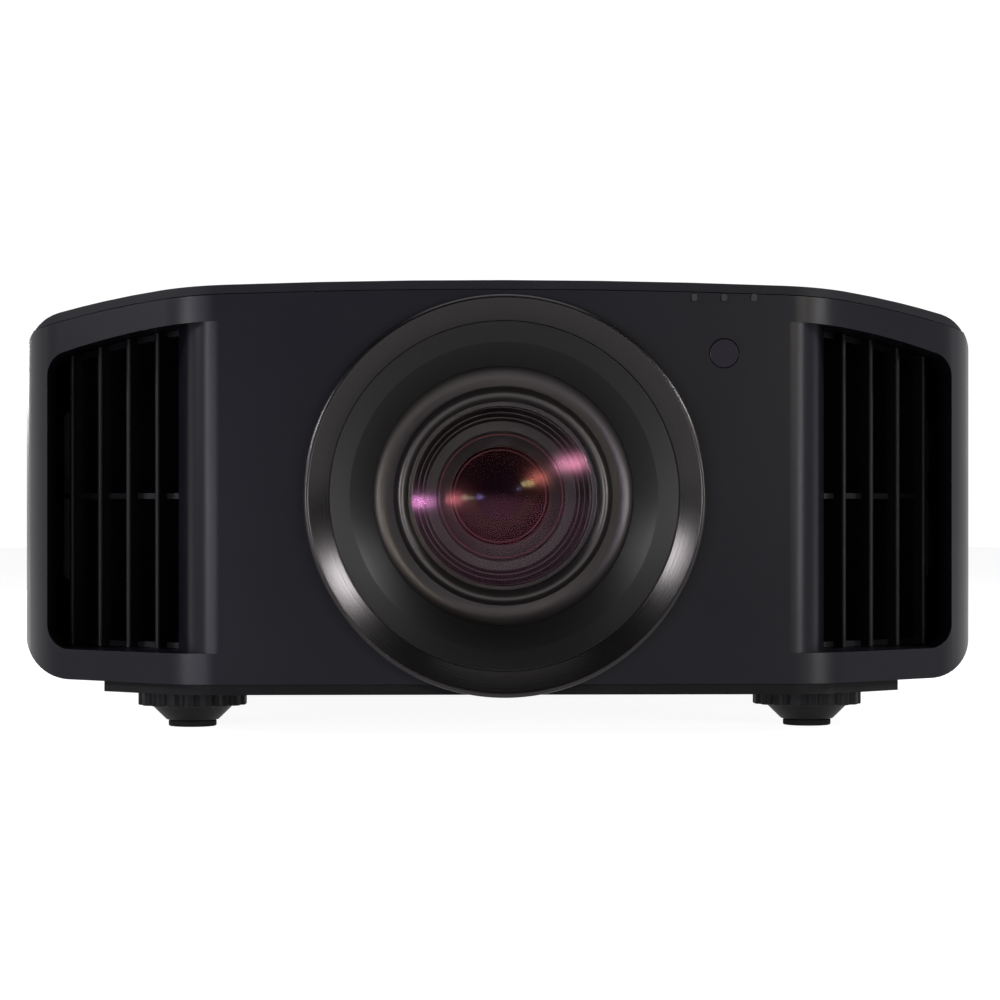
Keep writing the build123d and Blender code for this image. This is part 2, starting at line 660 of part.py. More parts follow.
STEP_Y = SLEEVE_END + BAFFLE_STEP
LIP_Y = STEP_Y + BAFFLE_LIP
with BuildPart() as lens_baffle:
    with BuildSketch(TURN_PLANE):
        with BuildLine():
            Polyline(
                (FRONT_Y + WALL, BAFFLE_FLANGE_R), (FRONT_Y + WALL, SLEEVE_R + FIT_GAP),
                (SLEEVE_END, SLEEVE_R + FIT_GAP), (SLEEVE_END, BEZEL_INNER_R - FIT_GAP),
                (STEP_Y, BAFFLE_STEP_R), (LIP_Y, BAFFLE_LIP_R), (LIP_Y + BAFFLE_WALL, BAFFLE_LIP_R),
                (STEP_Y + BAFFLE_WALL, BAFFLE_STEP_R + BAFFLE_WALL),
                (SLEEVE_END + BAFFLE_WALL, BEZEL_INNER_R + FIT_GAP),
                (SLEEVE_END + BAFFLE_WALL, BAFFLE_FLANGE_R), close=True)
        make_face()
    revolve(axis=LENS_AXIS)
    with Locations((0, FRONT_Y, SHELL_BOTTOM + WALL + FIT_GAP)):
        Box(WIDTH, DEPTH, HEIGHT, align=(Align.CENTER, Align.CENTER, Align.MAX), mode=Mode.SUBTRACT)
    with Locations((0, FRONT_Y, CROWN_TOP - LID_DROP - 2 * WALL)):
        Box(WIDTH, DEPTH, HEIGHT, align=LOW, mode=Mode.SUBTRACT)
save(lens_baffle.part, "lens_baffle")

# Remote window and the indicator light pipes, each with a flange behind the panel
with BuildPart() as remote_window:
    with BuildSketch(wall_plane(FRONT_Y + WALL)):
        with Locations((WINDOW_X, WINDOW_Z)):
            Circle(WINDOW_R)
    extrude(amount=WALL - FIT_GAP)
    with BuildSketch(wall_plane(FRONT_Y + WALL + FLANGE_LAP)):
        with Locations((WINDOW_X, WINDOW_Z)):
            Circle(WINDOW_R + 2 * FLANGE_LAP)
    extrude(amount=FLANGE_LAP)
save(remote_window.part, "remote_window")

with BuildPart() as indicator_lenses:
    with BuildSketch(wall_plane(FRONT_Y + WALL + INSERT_DEPTH)):
        with Locations(*PIPE_PLACES):
            RectangleRounded(PIPE_WIDTH, PIPE_HEIGHT, PIPE_WIDTH / 4)
    extrude(amount=INSERT_DEPTH + WALL + PIPE_PROUD)
    with BuildSketch(wall_plane(FRONT_Y + WALL + FLANGE_LAP)):
        with Locations(*PIPE_PLACES):
            Rectangle(PIPE_WIDTH + 2 * FLANGE_LAP, PIPE_HEIGHT)
    extrude(amount=FLANGE_LAP)
save(indicator_lenses.part, "indicator_lenses")

# Lens front group: trim ring and front element, which focusing moves in and out
RING_BACK = LENS_Y + RING_DEPTH
BARREL_FRONT = RING_BACK + FOCUS_TRAVEL + STOP_GAP
TUBE_END = LENS_Y + TUBE_LENGTH
GLASS_SEAT = LENS_Y + SEAT_DEPTH
NOSE_Y = LENS_Y + NOSE_DEPTH
SEAT_R = GLASS_R - SEAT_LIP
with BuildPart() as lens_front_ring:
    with BuildSketch(TURN_PLANE):
        with BuildLine():
            nose = ThreePointArc((NOSE_Y, GLASS_R), (LENS_Y, (GLASS_R + RING_R) / 2), (NOSE_Y, RING_R))
            Polyline(
                nose @ 1, (RING_BACK, RING_R), (RING_BACK, BARREL_BORE_R - RUN_CLEAR),
                (TUBE_END, BARREL_BORE_R - RUN_CLEAR), (TUBE_END, SEAT_R), (GLASS_SEAT, SEAT_R),
                (GLASS_SEAT, GLASS_R), nose @ 0)
        make_face()
    revolve(axis=LENS_AXIS)
save(lens_front_ring.part, "lens_front_ring")

FRONT_VERTEX = LENS_Y + GLASS_RECESS


def dome_points(vertex, drop, edge_r):
    """Three points of a round lens face, from its edge to its middle on the lens axis."""
    sphere_r = (edge_r ** 2 + drop ** 2) / (2 * abs(drop))
    half = vertex + math.copysign(sphere_r - math.sqrt(sphere_r ** 2 - edge_r ** 2 / 4), drop)
    return (vertex + drop, edge_r), (half, edge_r / 2), (vertex, 0)


with BuildPart() as front_element:
    with BuildSketch(TURN_PLANE):
        with BuildLine():
            dome = ThreePointArc(*dome_points(FRONT_VERTEX, FRONT_DOME, GLASS_R - RUN_CLEAR))
            Polyline(dome @ 1, (GLASS_SEAT, 0), (GLASS_SEAT, GLASS_R - RUN_CLEAR), dome @ 0)
        make_face()
    revolve(axis=LENS_AXIS)
save(front_element.part, "front_element")

# Barrel with its dished light shield, motor lugs and rear flange
STAGE_Y = ENGINE_Y - FRAME_THICK
V_BACK = STAGE_Y - STAGE_GAP
V_FRONT = V_BACK - STAGE_THICK
H_BACK = V_FRONT - STAGE_GAP
H_FRONT = H_BACK - STAGE_THICK
FLANGE_Y = H_FRONT - BARREL_FLANGE
DISH_LIP = BARREL_FRONT - DISH_DEPTH
COLLAR_BACK = DISH_LIP + COLLAR_THICK
COLLAR_END = BARREL_FRONT + DISH_START
FOCUS_Y = LENS_Y + FOCUS_SETBACK
ZOOM_Y = LENS_Y + ZOOM_SETBACK
FOCUS_LUG = FOCUS_Y + GEAR_WIDTH + LUG_GAP
ZOOM_LUG = ZOOM_Y + GEAR_WIDTH + LUG_GAP
RING_PITCH_R = GEAR_MODULE * RING_TEETH / 2
PINION_PITCH_R = GEAR_MODULE * PINION_TEETH / 2
GEAR_CENTRE = RING_PITCH_R + PINION_PITCH_R


def around_lens(angle):
    """Place of a pinion's axis at an angle around the lens, from the lens axis."""
    turn = math.radians(angle)
    return (GEAR_CENTRE * math.cos(turn), GEAR_CENTRE * math.sin(turn))


with BuildPart() as lens_barrel:
    with BuildSketch(TURN_PLANE):
        with BuildLine():
            dish = ThreePointArc((DISH_LIP, COLLAR_R - COLLAR_LAP),
                                 (BARREL_FRONT - DISH_DEPTH / 4, BARREL_R + DISH_MIDDLE),
                                 (BARREL_FRONT, BARREL_R + DISH_START))
            Polyline(
                dish @ 1, (BARREL_FRONT, BARREL_BORE_R), (FLANGE_Y, BARREL_BORE_R),
                (FLANGE_Y, TAIL_R - TAIL_WALL), (STAGE_Y, TAIL_R - TAIL_WALL), (STAGE_Y, TAIL_R),
                (H_FRONT, TAIL_R), (H_FRONT, BARREL_FLANGE_R), (FLANGE_Y, BARREL_FLANGE_R),
                (FLANGE_Y, BARREL_R), (COLLAR_END, BARREL_R), (COLLAR_END, BARREL_R + DISH_START),
                (COLLAR_BACK, COLLAR_R - COLLAR_THICK), (COLLAR_BACK, COLLAR_R), (DISH_LIP, COLLAR_R), dish @ 0)
        make_face()
    revolve(axis=LENS_AXIS)
    for lug_y, lug_angle in ((FOCUS_LUG, FOCUS_ANGLE), (ZOOM_LUG, ZOOM_ANGLE)):
        with BuildSketch(wall_plane(lug_y + LUG_THICK, LENS_Z)):
            with PolarLocations(GEAR_CENTRE, 1, start_angle=lug_angle):
                SlotOverall(2 * (GEAR_CENTRE - BARREL_BORE_R), 3 * MOTOR_R)
            Circle((BARREL_BORE_R + BARREL_R) / 2, mode=Mode.SUBTRACT)
            with PolarLocations(GEAR_CENTRE, 1, start_angle=lug_angle):
                Circle(MOTOR_SHAFT_R + RUN_CLEAR, mode=Mode.SUBTRACT)
        extrude(amount=LUG_THICK)
save(lens_barrel.part, "lens_barrel")


def tooth(pitch_r):
    """Corners of one gear tooth that points along X."""
    slope = math.tan(math.radians(FLANK_ANGLE))
    root = TOOTH_HALF + TOOTH_DEDENDUM * slope
    tip = TOOTH_HALF - TOOTH_ADDENDUM * slope
    low = pitch_r - TOOTH_DEDENDUM * GEAR_MODULE
    high = pitch_r + TOOTH_ADDENDUM * GEAR_MODULE
    return [(low, -root), (high, -tip), (high, tip), (low, root)]


# Geared focus and zoom rings with their pinions
STEP_ANGLE = 360.0 / RING_TEETH
for ring_name, ring_y, drive_angle in (("focus", FOCUS_Y, FOCUS_ANGLE), ("zoom", ZOOM_Y, ZOOM_ANGLE)):
    first_angle = drive_angle - STEP_ANGLE * (SECTOR_TEETH - 1) / 2
    root_r = RING_PITCH_R - TOOTH_DEDENDUM * GEAR_MODULE
    with BuildPart() as gear_ring:
        with BuildSketch(wall_plane(ring_y + GEAR_WIDTH, LENS_Z)):
            Circle(root_r + ROOT_LAP)
            for i in range(SECTOR_TEETH):
                with PolarLocations(0, 1, start_angle=first_angle + i * STEP_ANGLE):
                    Polygon(*tooth(RING_PITCH_R), align=None)
            Circle(BARREL_R + RUN_CLEAR, mode=Mode.SUBTRACT)
        extrude(amount=GEAR_WIDTH)
    save(gear_ring.part, f"{ring_name}_ring")
    pinion_x, pinion_z = around_lens(drive_angle)
    pinion_root = PINION_PITCH_R - TOOTH_DEDENDUM * GEAR_MODULE
    pinion_plane = Plane((pinion_x, ring_y + GEAR_WIDTH - PINION_INSET, LENS_Z + pinion_z),
                         x_dir=(1, 0, 0), z_dir=(0, -1, 0))
    with BuildPart() as pinion:
        with BuildSketch(pinion_plane):
            Circle(pinion_root + ROOT_LAP)
            with PolarLocations(0, PINION_TEETH, start_angle=drive_angle + 180):
                Polygon(*tooth(PINION_PITCH_R), align=None)
        extrude(amount=GEAR_WIDTH - 2 * PINION_INSET)
        with BuildSketch(pinion_plane):
            Circle(MOTOR_SHAFT_R)
        extrude(amount=-(PINION_INSET + LUG_GAP + LUG_THICK + SHAFT_GRIP))
    save(pinion.part, f"{ring_name}_pinion")

with BuildPart() as lens_motors:
    for lug_y, lug_angle in ((FOCUS_LUG, FOCUS_ANGLE), (ZOOM_LUG, ZOOM_ANGLE)):
        motor_x, motor_z = around_lens(lug_angle)
        motor_plane = Plane((motor_x, lug_y + LUG_THICK, LENS_Z + motor_z), x_dir=(1, 0, 0), z_dir=(0, 1, 0))
        with BuildSketch(motor_plane):
            Circle(MOTOR_R)
        extrude(amount=MOTOR_LENGTH)
        with BuildSketch(motor_plane):
            Circle(MOTOR_SHAFT_R + RUN_CLEAR)
        extrude(amount=SHAFT_GRIP + FIT_GAP, mode=Mode.SUBTRACT)
save(lens_motors.part, "lens_motors")

# Zoom group: a stepped cell with two elements, which zooming moves along the barrel
CELL_Y = TUBE_END + FOCUS_TRAVEL + ZOOM_TRAVEL + STOP_GAP
CELL_END = CELL_Y + CELL_LENGTH
CELL_R = BARREL_BORE_R - RUN_CLEAR
with BuildPart() as zoom_cell:
    with BuildSketch(TURN_PLANE):
        with BuildLine():
            Polyline(
                (CELL_Y, CELL_R), (CELL_Y, CELL_R - CELL_WALL), (CELL_Y + STEP_DEPTH, CELL_STEPS[0]),
                (CELL_Y + STEP_DEPTH, CELL_STEPS[1]), (CELL_Y + 2 * STEP_DEPTH, CELL_STEPS[1]),
                (CELL_Y + 2 * STEP_DEPTH, CELL_STEPS[2]), (CELL_END - STEP_DEPTH, CELL_STEPS[2]),
                (CELL_END - STEP_DEPTH, CELL_STEPS[1]), (CELL_END, CELL_STEPS[1]), (CELL_END, CELL_R),
                close=True)
        make_face()
    revolve(axis=LENS_AXIS)
save(zoom_cell.part, "zoom_cell")

INNER_R = CELL_STEPS[1] - RUN_CLEAR
with BuildPart() as inner_elements:
    with BuildSketch(TURN_PLANE):
        with BuildLine():
            bulge = ThreePointArc(*dome_points(CELL_Y + STEP_DEPTH - INNER_DOME / 2, INNER_DOME, INNER_R))
            Polyline(bulge @ 1, (CELL_Y + 2 * STEP_DEPTH, 0),
                     (CELL_Y + 2 * STEP_DEPTH, INNER_R), bulge @ 0)
        make_face()
        with BuildLine():
            rear = ThreePointArc(*dome_points(CELL_END, -INNER_DOME, INNER_R))
            Polyline(rear @ 1, (CELL_END - STEP_DEPTH, 0), (CELL_END - STEP_DEPTH, INNER_R),
                     rear @ 0)
        make_face()
    revolve(axis=LENS_AXIS)
save(inner_elements.part, "inner_elements")

# Lens shift: a fixed frame, a stage that moves up and down, and one on it that moves sideways
FRAME_RAIL_IN = V_HALF_X + SLIDE_CLEAR
RAIL_FRONT = STAGE_Y - STAGE_THICK
V_MID = (V_BACK + V_FRONT) / 2
H_MID = (H_BACK + H_FRONT) / 2
GROOVE = TONGUE_THICK + 2 * SLIDE_CLEAR
LUG_LOW = V_HALF_Z + SHIFT_V + SHIFT_SPARE
V_RAIL_HALF = LUG_LOW + SHIFT_LUG
with BuildPart() as shift_frame:
    with BuildSketch(wall_plane(ENGINE_Y)):
        with Locations((0, TRAY_TOP)):
            Rectangle(2 * FRAME_HALF, LENS_Z + FRAME_RISE - TRAY_TOP, align=(Align.CENTER, Align.MIN))
        with Locations((0, LENS_Z)):
            Circle(TAIL_R + math.hypot(SHIFT_V, SHIFT_H) + STAGE_GAP, mode=Mode.SUBTRACT)
    extrude(amount=FRAME_THICK)
    with BuildSketch(wall_plane(STAGE_Y, LENS_Z)):
        with Locations((FRAME_RAIL_IN, 0)):
            Rectangle(RAIL_WIDTH, 2 * V_RAIL_HALF, align=(Align.MIN, Align.CENTER))
        with Locations((-FRAME_RAIL_IN, 0)):
            Rectangle(RAIL_WIDTH, 2 * V_RAIL_HALF, align=(Align.MAX, Align.CENTER))
    extrude(amount=STAGE_THICK)
    with BuildSketch(wall_plane(V_MID + GROOVE / 2, LENS_Z)):
        Rectangle(2 * (FRAME_RAIL_IN + TONGUE + SLIDE_CLEAR), 2 * V_RAIL_HALF)
    extrude(amount=GROOVE, mode=Mode.SUBTRACT)
    for side in (-1, 1):
        with BuildSketch(wall_plane(STAGE_Y, LENS_Z + side * (LUG_LOW + SHIFT_LUG / 2))):
            with Locations((V_SCREW_X, 0)):
                Rectangle(4 * V_SCREW_R, SHIFT_LUG)
        extrude(amount=STAGE_Y - V_FRONT)
    with Locations((V_SCREW_X, V_MID, LENS_Z)):
        Cylinder(V_SCREW_R + RUN_CLEAR, 2 * V_RAIL_HALF, mode=Mode.SUBTRACT)
save(shift_frame.part, "shift_frame")

with BuildPart() as vertical_carriage:
    with BuildSketch(wall_plane(V_BACK, LENS_Z)):
        Rectangle(2 * V_HALF_X, 2 * V_HALF_Z)
        Circle(TAIL_R + SHIFT_H + STAGE_GAP, mode=Mode.SUBTRACT)
    extrude(amount=STAGE_THICK)
    with BuildSketch(wall_plane(V_MID + TONGUE_THICK / 2, LENS_Z)):
        for side in (-1, 1):
            with Locations((side * V_HALF_X, 0)):
                Rectangle(2 * TONGUE, 2 * V_HALF_Z)
    extrude(amount=TONGUE_THICK)
    with BuildSketch(wall_plane(V_FRONT, LENS_Z)):
        for side in (-1, 1):
            with Locations((0, side * (H_HALF_Z + SLIDE_CLEAR + RAIL_WIDTH / 2))):
                Rectangle(2 * (H_HALF_X + SHIFT_H + SHIFT_SPARE + SHIFT_LUG), RAIL_WIDTH)
    extrude(amount=STAGE_THICK + STAGE_GAP)
    with BuildSketch(wall_plane(H_MID + GROOVE / 2, LENS_Z)):
        Rectangle(4 * V_HALF_X, 2 * (H_HALF_Z + TONGUE + 2 * SLIDE_CLEAR))
    extrude(amount=GROOVE, mode=Mode.SUBTRACT)
    with BuildSketch(wall_plane(V_FRONT, LENS_Z + H_SCREW_RISE)):
        for side in (-1, 1):
            with Locations((side * (H_HALF_X + SHIFT_H + SHIFT_SPARE + SHIFT_LUG / 2), 0)):
                Rectangle(SHIFT_LUG, 6 * H_SCREW_R)
    extrude(amount=STAGE_THICK + STAGE_GAP)
    with Locations((V_SCREW_X, V_MID, LENS_Z)):
        Cylinder(V_SCREW_R + RUN_CLEAR, 4 * V_HALF_Z, mode=Mode.SUBTRACT)
    with Locations((0, H_MID, LENS_Z + H_SCREW_RISE)):
        Cylinder(H_SCREW_R + RUN_CLEAR, 4 * V_HALF_X, rotation=(0, 90, 0), mode=Mode.SUBTRACT)
save(vertical_carriage.part, "vertical_carriage")

with BuildPart() as horizontal_carriage:
    with BuildSketch(wall_plane(H_BACK, LENS_Z)):
        Rectangle(2 * H_HALF_X, 2 * H_HALF_Z)
        Circle(TAIL_R, mode=Mode.SUBTRACT)
    extrude(amount=STAGE_THICK)
    with BuildSketch(wall_plane(H_MID + TONGUE_THICK / 2, LENS_Z)):
        for side in (-1, 1):
            with Locations((0, side * H_HALF_Z)):
                Rectangle(2 * H_HALF_X, 2 * TONGUE)
    extrude(amount=TONGUE_THICK)
    with Locations((0, H_MID, LENS_Z + H_SCREW_RISE)):
        Cylinder(H_SCREW_R + RUN_CLEAR, 4 * H_HALF_X, rotation=(0, 90, 0), mode=Mode.SUBTRACT)
save(horizontal_carriage.part, "horizontal_carriage")

V_SCREW_TOP = LENS_Z + LUG_LOW + SHIFT_LUG
with BuildPart() as vertical_screw:
    with Locations((V_SCREW_X, V_MID, LENS_Z - LUG_LOW - SHIFT_LUG)):
        Cylinder(V_SCREW_R, 2 * (LUG_LOW + SHIFT_LUG) + SHAFT_GRIP, align=LOW)
save(vertical_screw.part, "vertical_screw")

with BuildPart() as vertical_shift_motor:
    with Locations((V_SCREW_X, V_MID, V_SCREW_TOP)):
        Cylinder(SHIFT_MOTOR_R, SHIFT_MOTOR_LENGTH, align=LOW)
        Cylinder(V_SCREW_R + RUN_CLEAR, SHAFT_GRIP + FIT_GAP, align=LOW, mode=Mode.SUBTRACT)
save(vertical_shift_motor.part, "vertical_shift_motor")

H_SCREW_END = H_HALF_X + SHIFT_H + SHIFT_SPARE + SHIFT_LUG
with BuildPart() as horizontal_screw:
    with BuildSketch(Plane((-H_SCREW_END, H_MID, LENS_Z + H_SCREW_RISE), z_dir=(1, 0, 0))):
        Circle(H_SCREW_R)
    extrude(amount=2 * H_SCREW_END + SHAFT_GRIP)
save(horizontal_screw.part, "horizontal_screw")

with BuildPart() as horizontal_shift_motor:
    with BuildSketch(Plane((H_SCREW_END, H_MID, LENS_Z + H_SCREW_RISE), z_dir=(1, 0, 0))):
        Circle(SHIFT_MOTOR_R)
    extrude(amount=SHIFT_MOTOR_LENGTH)
    with BuildSketch(Plane((H_SCREW_END, H_MID, LENS_Z + H_SCREW_RISE), z_dir=(1, 0, 0))):
        Circle(H_SCREW_R + RUN_CLEAR)
    extrude(amount=SHAFT_GRIP + FIT_GAP, mode=Mode.SUBTRACT)
save(horizontal_shift_motor.part, "horizontal_shift_motor")

# Light engine: a cast housing with a shelf, the colour prism and its three imaging panels
ENGINE_BACK = ENGINE_Y + ENGINE_LENGTH
SHELF_TOP = LENS_Z - PRISM / 2
with BuildPart() as engine_housing:
    with BuildSketch(wall_plane(ENGINE_BACK)):
        with Locations((0, TRAY_TOP)):
            Rectangle(2 * ENGINE_HALF, ENGINE_TOP - TRAY_TOP, align=(Align.CENTER, Align.MIN))
    extrude(amount=ENGINE_LENGTH)
    with BuildSketch(wall_plane(ENGINE_BACK - ENGINE_WALL)):
        with Locations((0, TRAY_TOP)):
            Rectangle(2 * (ENGINE_HALF - ENGINE_WALL), SHELF_TOP - ENGINE_WALL - TRAY_TOP,
                      align=(Align.CENTER, Align.MIN))
        with Locations((0, SHELF_TOP)):
            Rectangle(2 * (ENGINE_HALF - ENGINE_WALL), ENGINE_TOP - ENGINE_WALL - SHELF_TOP,
                      align=(Align.CENTER, Align.MIN))
    extrude(amount=ENGINE_LENGTH - 2 * ENGINE_WALL, mode=Mode.SUBTRACT)
    with BuildSketch(wall_plane(ENGINE_Y, LENS_Z)):
        Circle(PRISM * 0.75)
    extrude(amount=-2 * ENGINE_WALL, mode=Mode.SUBTRACT)
    with BuildSketch(Plane((ENGINE_HALF, LASER_Y, LENS_Z), z_dir=(1, 0, 0))):
        Rectangle(LASER_WIDTH / 3, LASER_WIDTH / 3)
    extrude(amount=-2 * ENGINE_WALL, mode=Mode.SUBTRACT)
save(engine_housing.part, "engine_housing")

with BuildPart() as prism_block:
    with Locations((0, PRISM_Y, SHELF_TOP)):
        Box(PRISM, PRISM, PRISM, align=LOW)
    chamfer(prism_block.edges().filter_by(Axis.Z), PRISM / 40)
save(prism_block.part, "prism_block")

with BuildPart() as imaging_panels:
    for side in (-1, 1):
        with Locations((side * (PRISM + PANEL_THICK) / 2, PRISM_Y, LENS_Z)):
            Box(PANEL_THICK, PANEL_WIDTH, PANEL_TALL)
    with Locations((0, PRISM_Y + (PRISM + PANEL_THICK) / 2, LENS_Z)):
        Box(PANEL_WIDTH, PANEL_THICK, PANEL_TALL)
save(imaging_panels.part, "imaging_panels")

with BuildPart() as laser_source:
    with Locations((ENGINE_HALF + LASER_DEPTH / 2, LASER_Y, LENS_Z)):
        Box(LASER_DEPTH, LASER_WIDTH, LASER_WIDTH)
    fillet(laser_source.edges().filter_by(Axis.X), LASER_WIDTH / 12)
save(laser_source.part, "laser_source")

SINK_X = ENGINE_HALF + LASER_DEPTH
FIN_PITCH = (SINK_TALL - FIN_THICK) / (FIN_COUNT - 1)
with BuildPart() as heat_sink:
    with Locations((SINK_X + SINK_BASE / 2, LASER_Y, LENS_Z)):
        Box(SINK_BASE, SINK_LENGTH, SINK_TALL)
    with Locations((SINK_X + SINK_BASE + FIN_REACH / 2, LASER_Y, LENS_Z)):
        with Locations(*[(0, 0, FIN_PITCH * (i - (FIN_COUNT - 1) / 2)) for i in range(FIN_COUNT)]):
            Box(FIN_REACH, SINK_LENGTH, FIN_THICK)
save(heat_sink.part, "heat_sink")

# Fans: two exhaust fans behind the vents and one intake fan behind the filter
POCKET_END = PANEL_IN - FILTER_THICK
FANS = {
    "left_fan": (-FAN_X, EXHAUST_Y, LENS_Z, EXHAUST_SIZE),
    "right_fan": (FAN_X, EXHAUST_Y, LENS_Z, EXHAUST_SIZE),
    "intake_fan": (DOOR_X, POCKET_END, DOOR_Z, INTAKE_SIZE),
}
with BuildPart() as fan_frames:
    for fan_x, fan_y, fan_z, fan_size in FANS.values():
        fan_plane = Plane((fan_x, fan_y, fan_z), x_dir=(1, 0, 0), z_dir=(0, -1, 0))
        with BuildSketch(fan_plane):
            RectangleRounded(fan_size, fan_size, FAN_RIM * 2)
            Circle(fan_size / 2 - FAN_RIM, mode=Mode.SUBTRACT)
        extrude(amount=FAN_DEPTH)
        with BuildSketch(fan_plane):
            with PolarLocations(0, 3):
                Rectangle(fan_size / 2 - FAN_RIM / 2, STRUT_THICK, align=(Align.MIN, Align.CENTER))
            Circle(HUB_R)
            Circle(FAN_SHAFT_R + RUN_CLEAR, mode=Mode.SUBTRACT)
        extrude(amount=STRUT_THICK)
save(fan_frames.part, "fan_frames")

PITCH_SIN = math.sin(math.radians(BLADE_PITCH))
PITCH_COS = math.cos(math.radians(BLADE_PITCH))
for fan_name, (fan_x, fan_y, fan_z, fan_size) in FANS.items():
    tip_r = math.sqrt((fan_size / 2 - FAN_RIM - FAN_TIP_GAP) ** 2 - FAN_DEPTH ** 2 / 4)
    hub_plane = Plane((fan_x, fan_y - STRUT_THICK - FIT_GAP, fan_z), x_dir=(1, 0, 0), z_dir=(0, -1, 0))
    rotor_depth = FAN_DEPTH - STRUT_THICK - 3 * FIT_GAP
    blade_chord = (rotor_depth - BLADE_THICK) / PITCH_SIN
    with BuildPart() as rotor:
        for i in range(FAN_BLADES):
            turn = 2 * math.pi / FAN_BLADES * i
            chord = (-math.sin(turn) * PITCH_COS, -PITCH_SIN, math.cos(turn) * PITCH_COS)
            blade_plane = Plane(hub_plane.offset(rotor_depth / 2).origin, x_dir=chord,
                                z_dir=(math.cos(turn), 0, math.sin(turn)))
            with BuildSketch(blade_plane):
                Rectangle(blade_chord, BLADE_THICK)
            extrude(amount=tip_r)
        with BuildSketch(hub_plane):
            Circle(HUB_R)
        extrude(amount=rotor_depth)
        with BuildSketch(hub_plane):
            Circle(FAN_SHAFT_R)
        extrude(amount=-(STRUT_THICK + FIT_GAP))
    save(rotor.part, f"{fan_name}_rotor")

# Power supply board with its larger parts
SUPPLY_Z = TRAY_TOP + BOARD_POST
with BuildPart() as power_supply:
    with Locations((SUPPLY_X, SUPPLY_Y, SUPPLY_Z)):
        Box(SUPPLY_WIDTH, SUPPLY_LENGTH, BOARD_THICK, align=LOW)
    with Locations((SUPPLY_X - SUPPLY_WIDTH * 0.15, SUPPLY_Y, SUPPLY_Z + BOARD_THICK)):
        Box(SUPPLY_WIDTH * 0.45, SUPPLY_LENGTH * 0.2, TRANSFORMER_TALL, align=LOW)
    with Locations((SUPPLY_X, SUPPLY_Y - SUPPLY_LENGTH * 0.3, SUPPLY_Z + BOARD_THICK)):
        with GridLocations(SUPPLY_WIDTH * 0.4, SUPPLY_LENGTH * 0.15, 2, 2):
            Cylinder(CAPACITOR_R, CAPACITOR_TALL, align=LOW)
    with Locations((SUPPLY_X, SUPPLY_Y + SUPPLY_LENGTH * 0.25, SUPPLY_Z + BOARD_THICK)):
        Box(SUPPLY_WIDTH * 0.7, COOLER_THICK, COOLER_TALL, align=LOW)
    with Locations((SUPPLY_X - SUPPLY_WIDTH * 0.2, SUPPLY_Y + SUPPLY_LENGTH * 0.38, SUPPLY_Z + BOARD_THICK)):
        Cylinder(CHOKE_R, CHOKE_TALL, align=LOW)
        Cylinder(CHOKE_BORE_R, CHOKE_TALL, align=LOW, mode=Mode.SUBTRACT)
save(power_supply.part, "power_supply")

# Rear panel with the filter pocket, board bosses and openings
BOARD_Y = PANEL_IN - BOARD_GAP
MAIN_X = (MAIN_LEFT + MAIN_RIGHT) / 2
MAIN_MID = (MAIN_LOW + MAIN_HIGH) / 2
MAIN_POSTS = [(x, z) for x in (MAIN_LEFT + POST_R, MAIN_RIGHT - POST_R)
              for z in (MAIN_LOW + POST_R, MAIN_HIGH - POST_R)]
SOCKETS = {
    "video_one": (-70.0, 15.0, 5.6),
    "video_two": (-45.0, 15.0, 5.6),
    "network": (-15.0, 13.0, 11.0),
    "service": (12.0, 13.0, 6.0),
}
BUTTONS = {
    "ok_button": (PAD_X, PAD_Z, OK_R),
    "up_button": (PAD_X, PAD_Z + KEY_REACH, KEY_R),
    "down_button": (PAD_X, PAD_Z - KEY_REACH, KEY_R),
    "left_button": (PAD_X + KEY_REACH, PAD_Z, KEY_R),
    "right_button": (PAD_X - KEY_REACH, PAD_Z, KEY_R),
    "power_button": (POWER_X, PAD_Z, POWER_R),
}
PANEL_PLATE = through(front_outline(REAR_BORDER + FIT_GAP)) & slice_y(PANEL_IN, PANEL_Y)
PANEL_FLANGE = through(front_outline(REAR_BORDER - REAR_FLANGE))
PANEL_FLANGE = PANEL_FLANGE - through(front_outline(REAR_BORDER + REAR_FLANGE))
PANEL_FLANGE = PANEL_FLANGE & slice_y(REAR_Y - WALL - FLANGE_THICK, REAR_Y - WALL)
PANEL_FLANGE = PANEL_FLANGE & casing(WALL, WALL + FIT_GAP)
DOOR_LOW = DOOR_Z - DOOR_HEIGHT / 2
HINGE_Y = PANEL_Y - DOOR_THICK / 2
HINGE_Z = DOOR_LOW + DOOR_THICK / 2
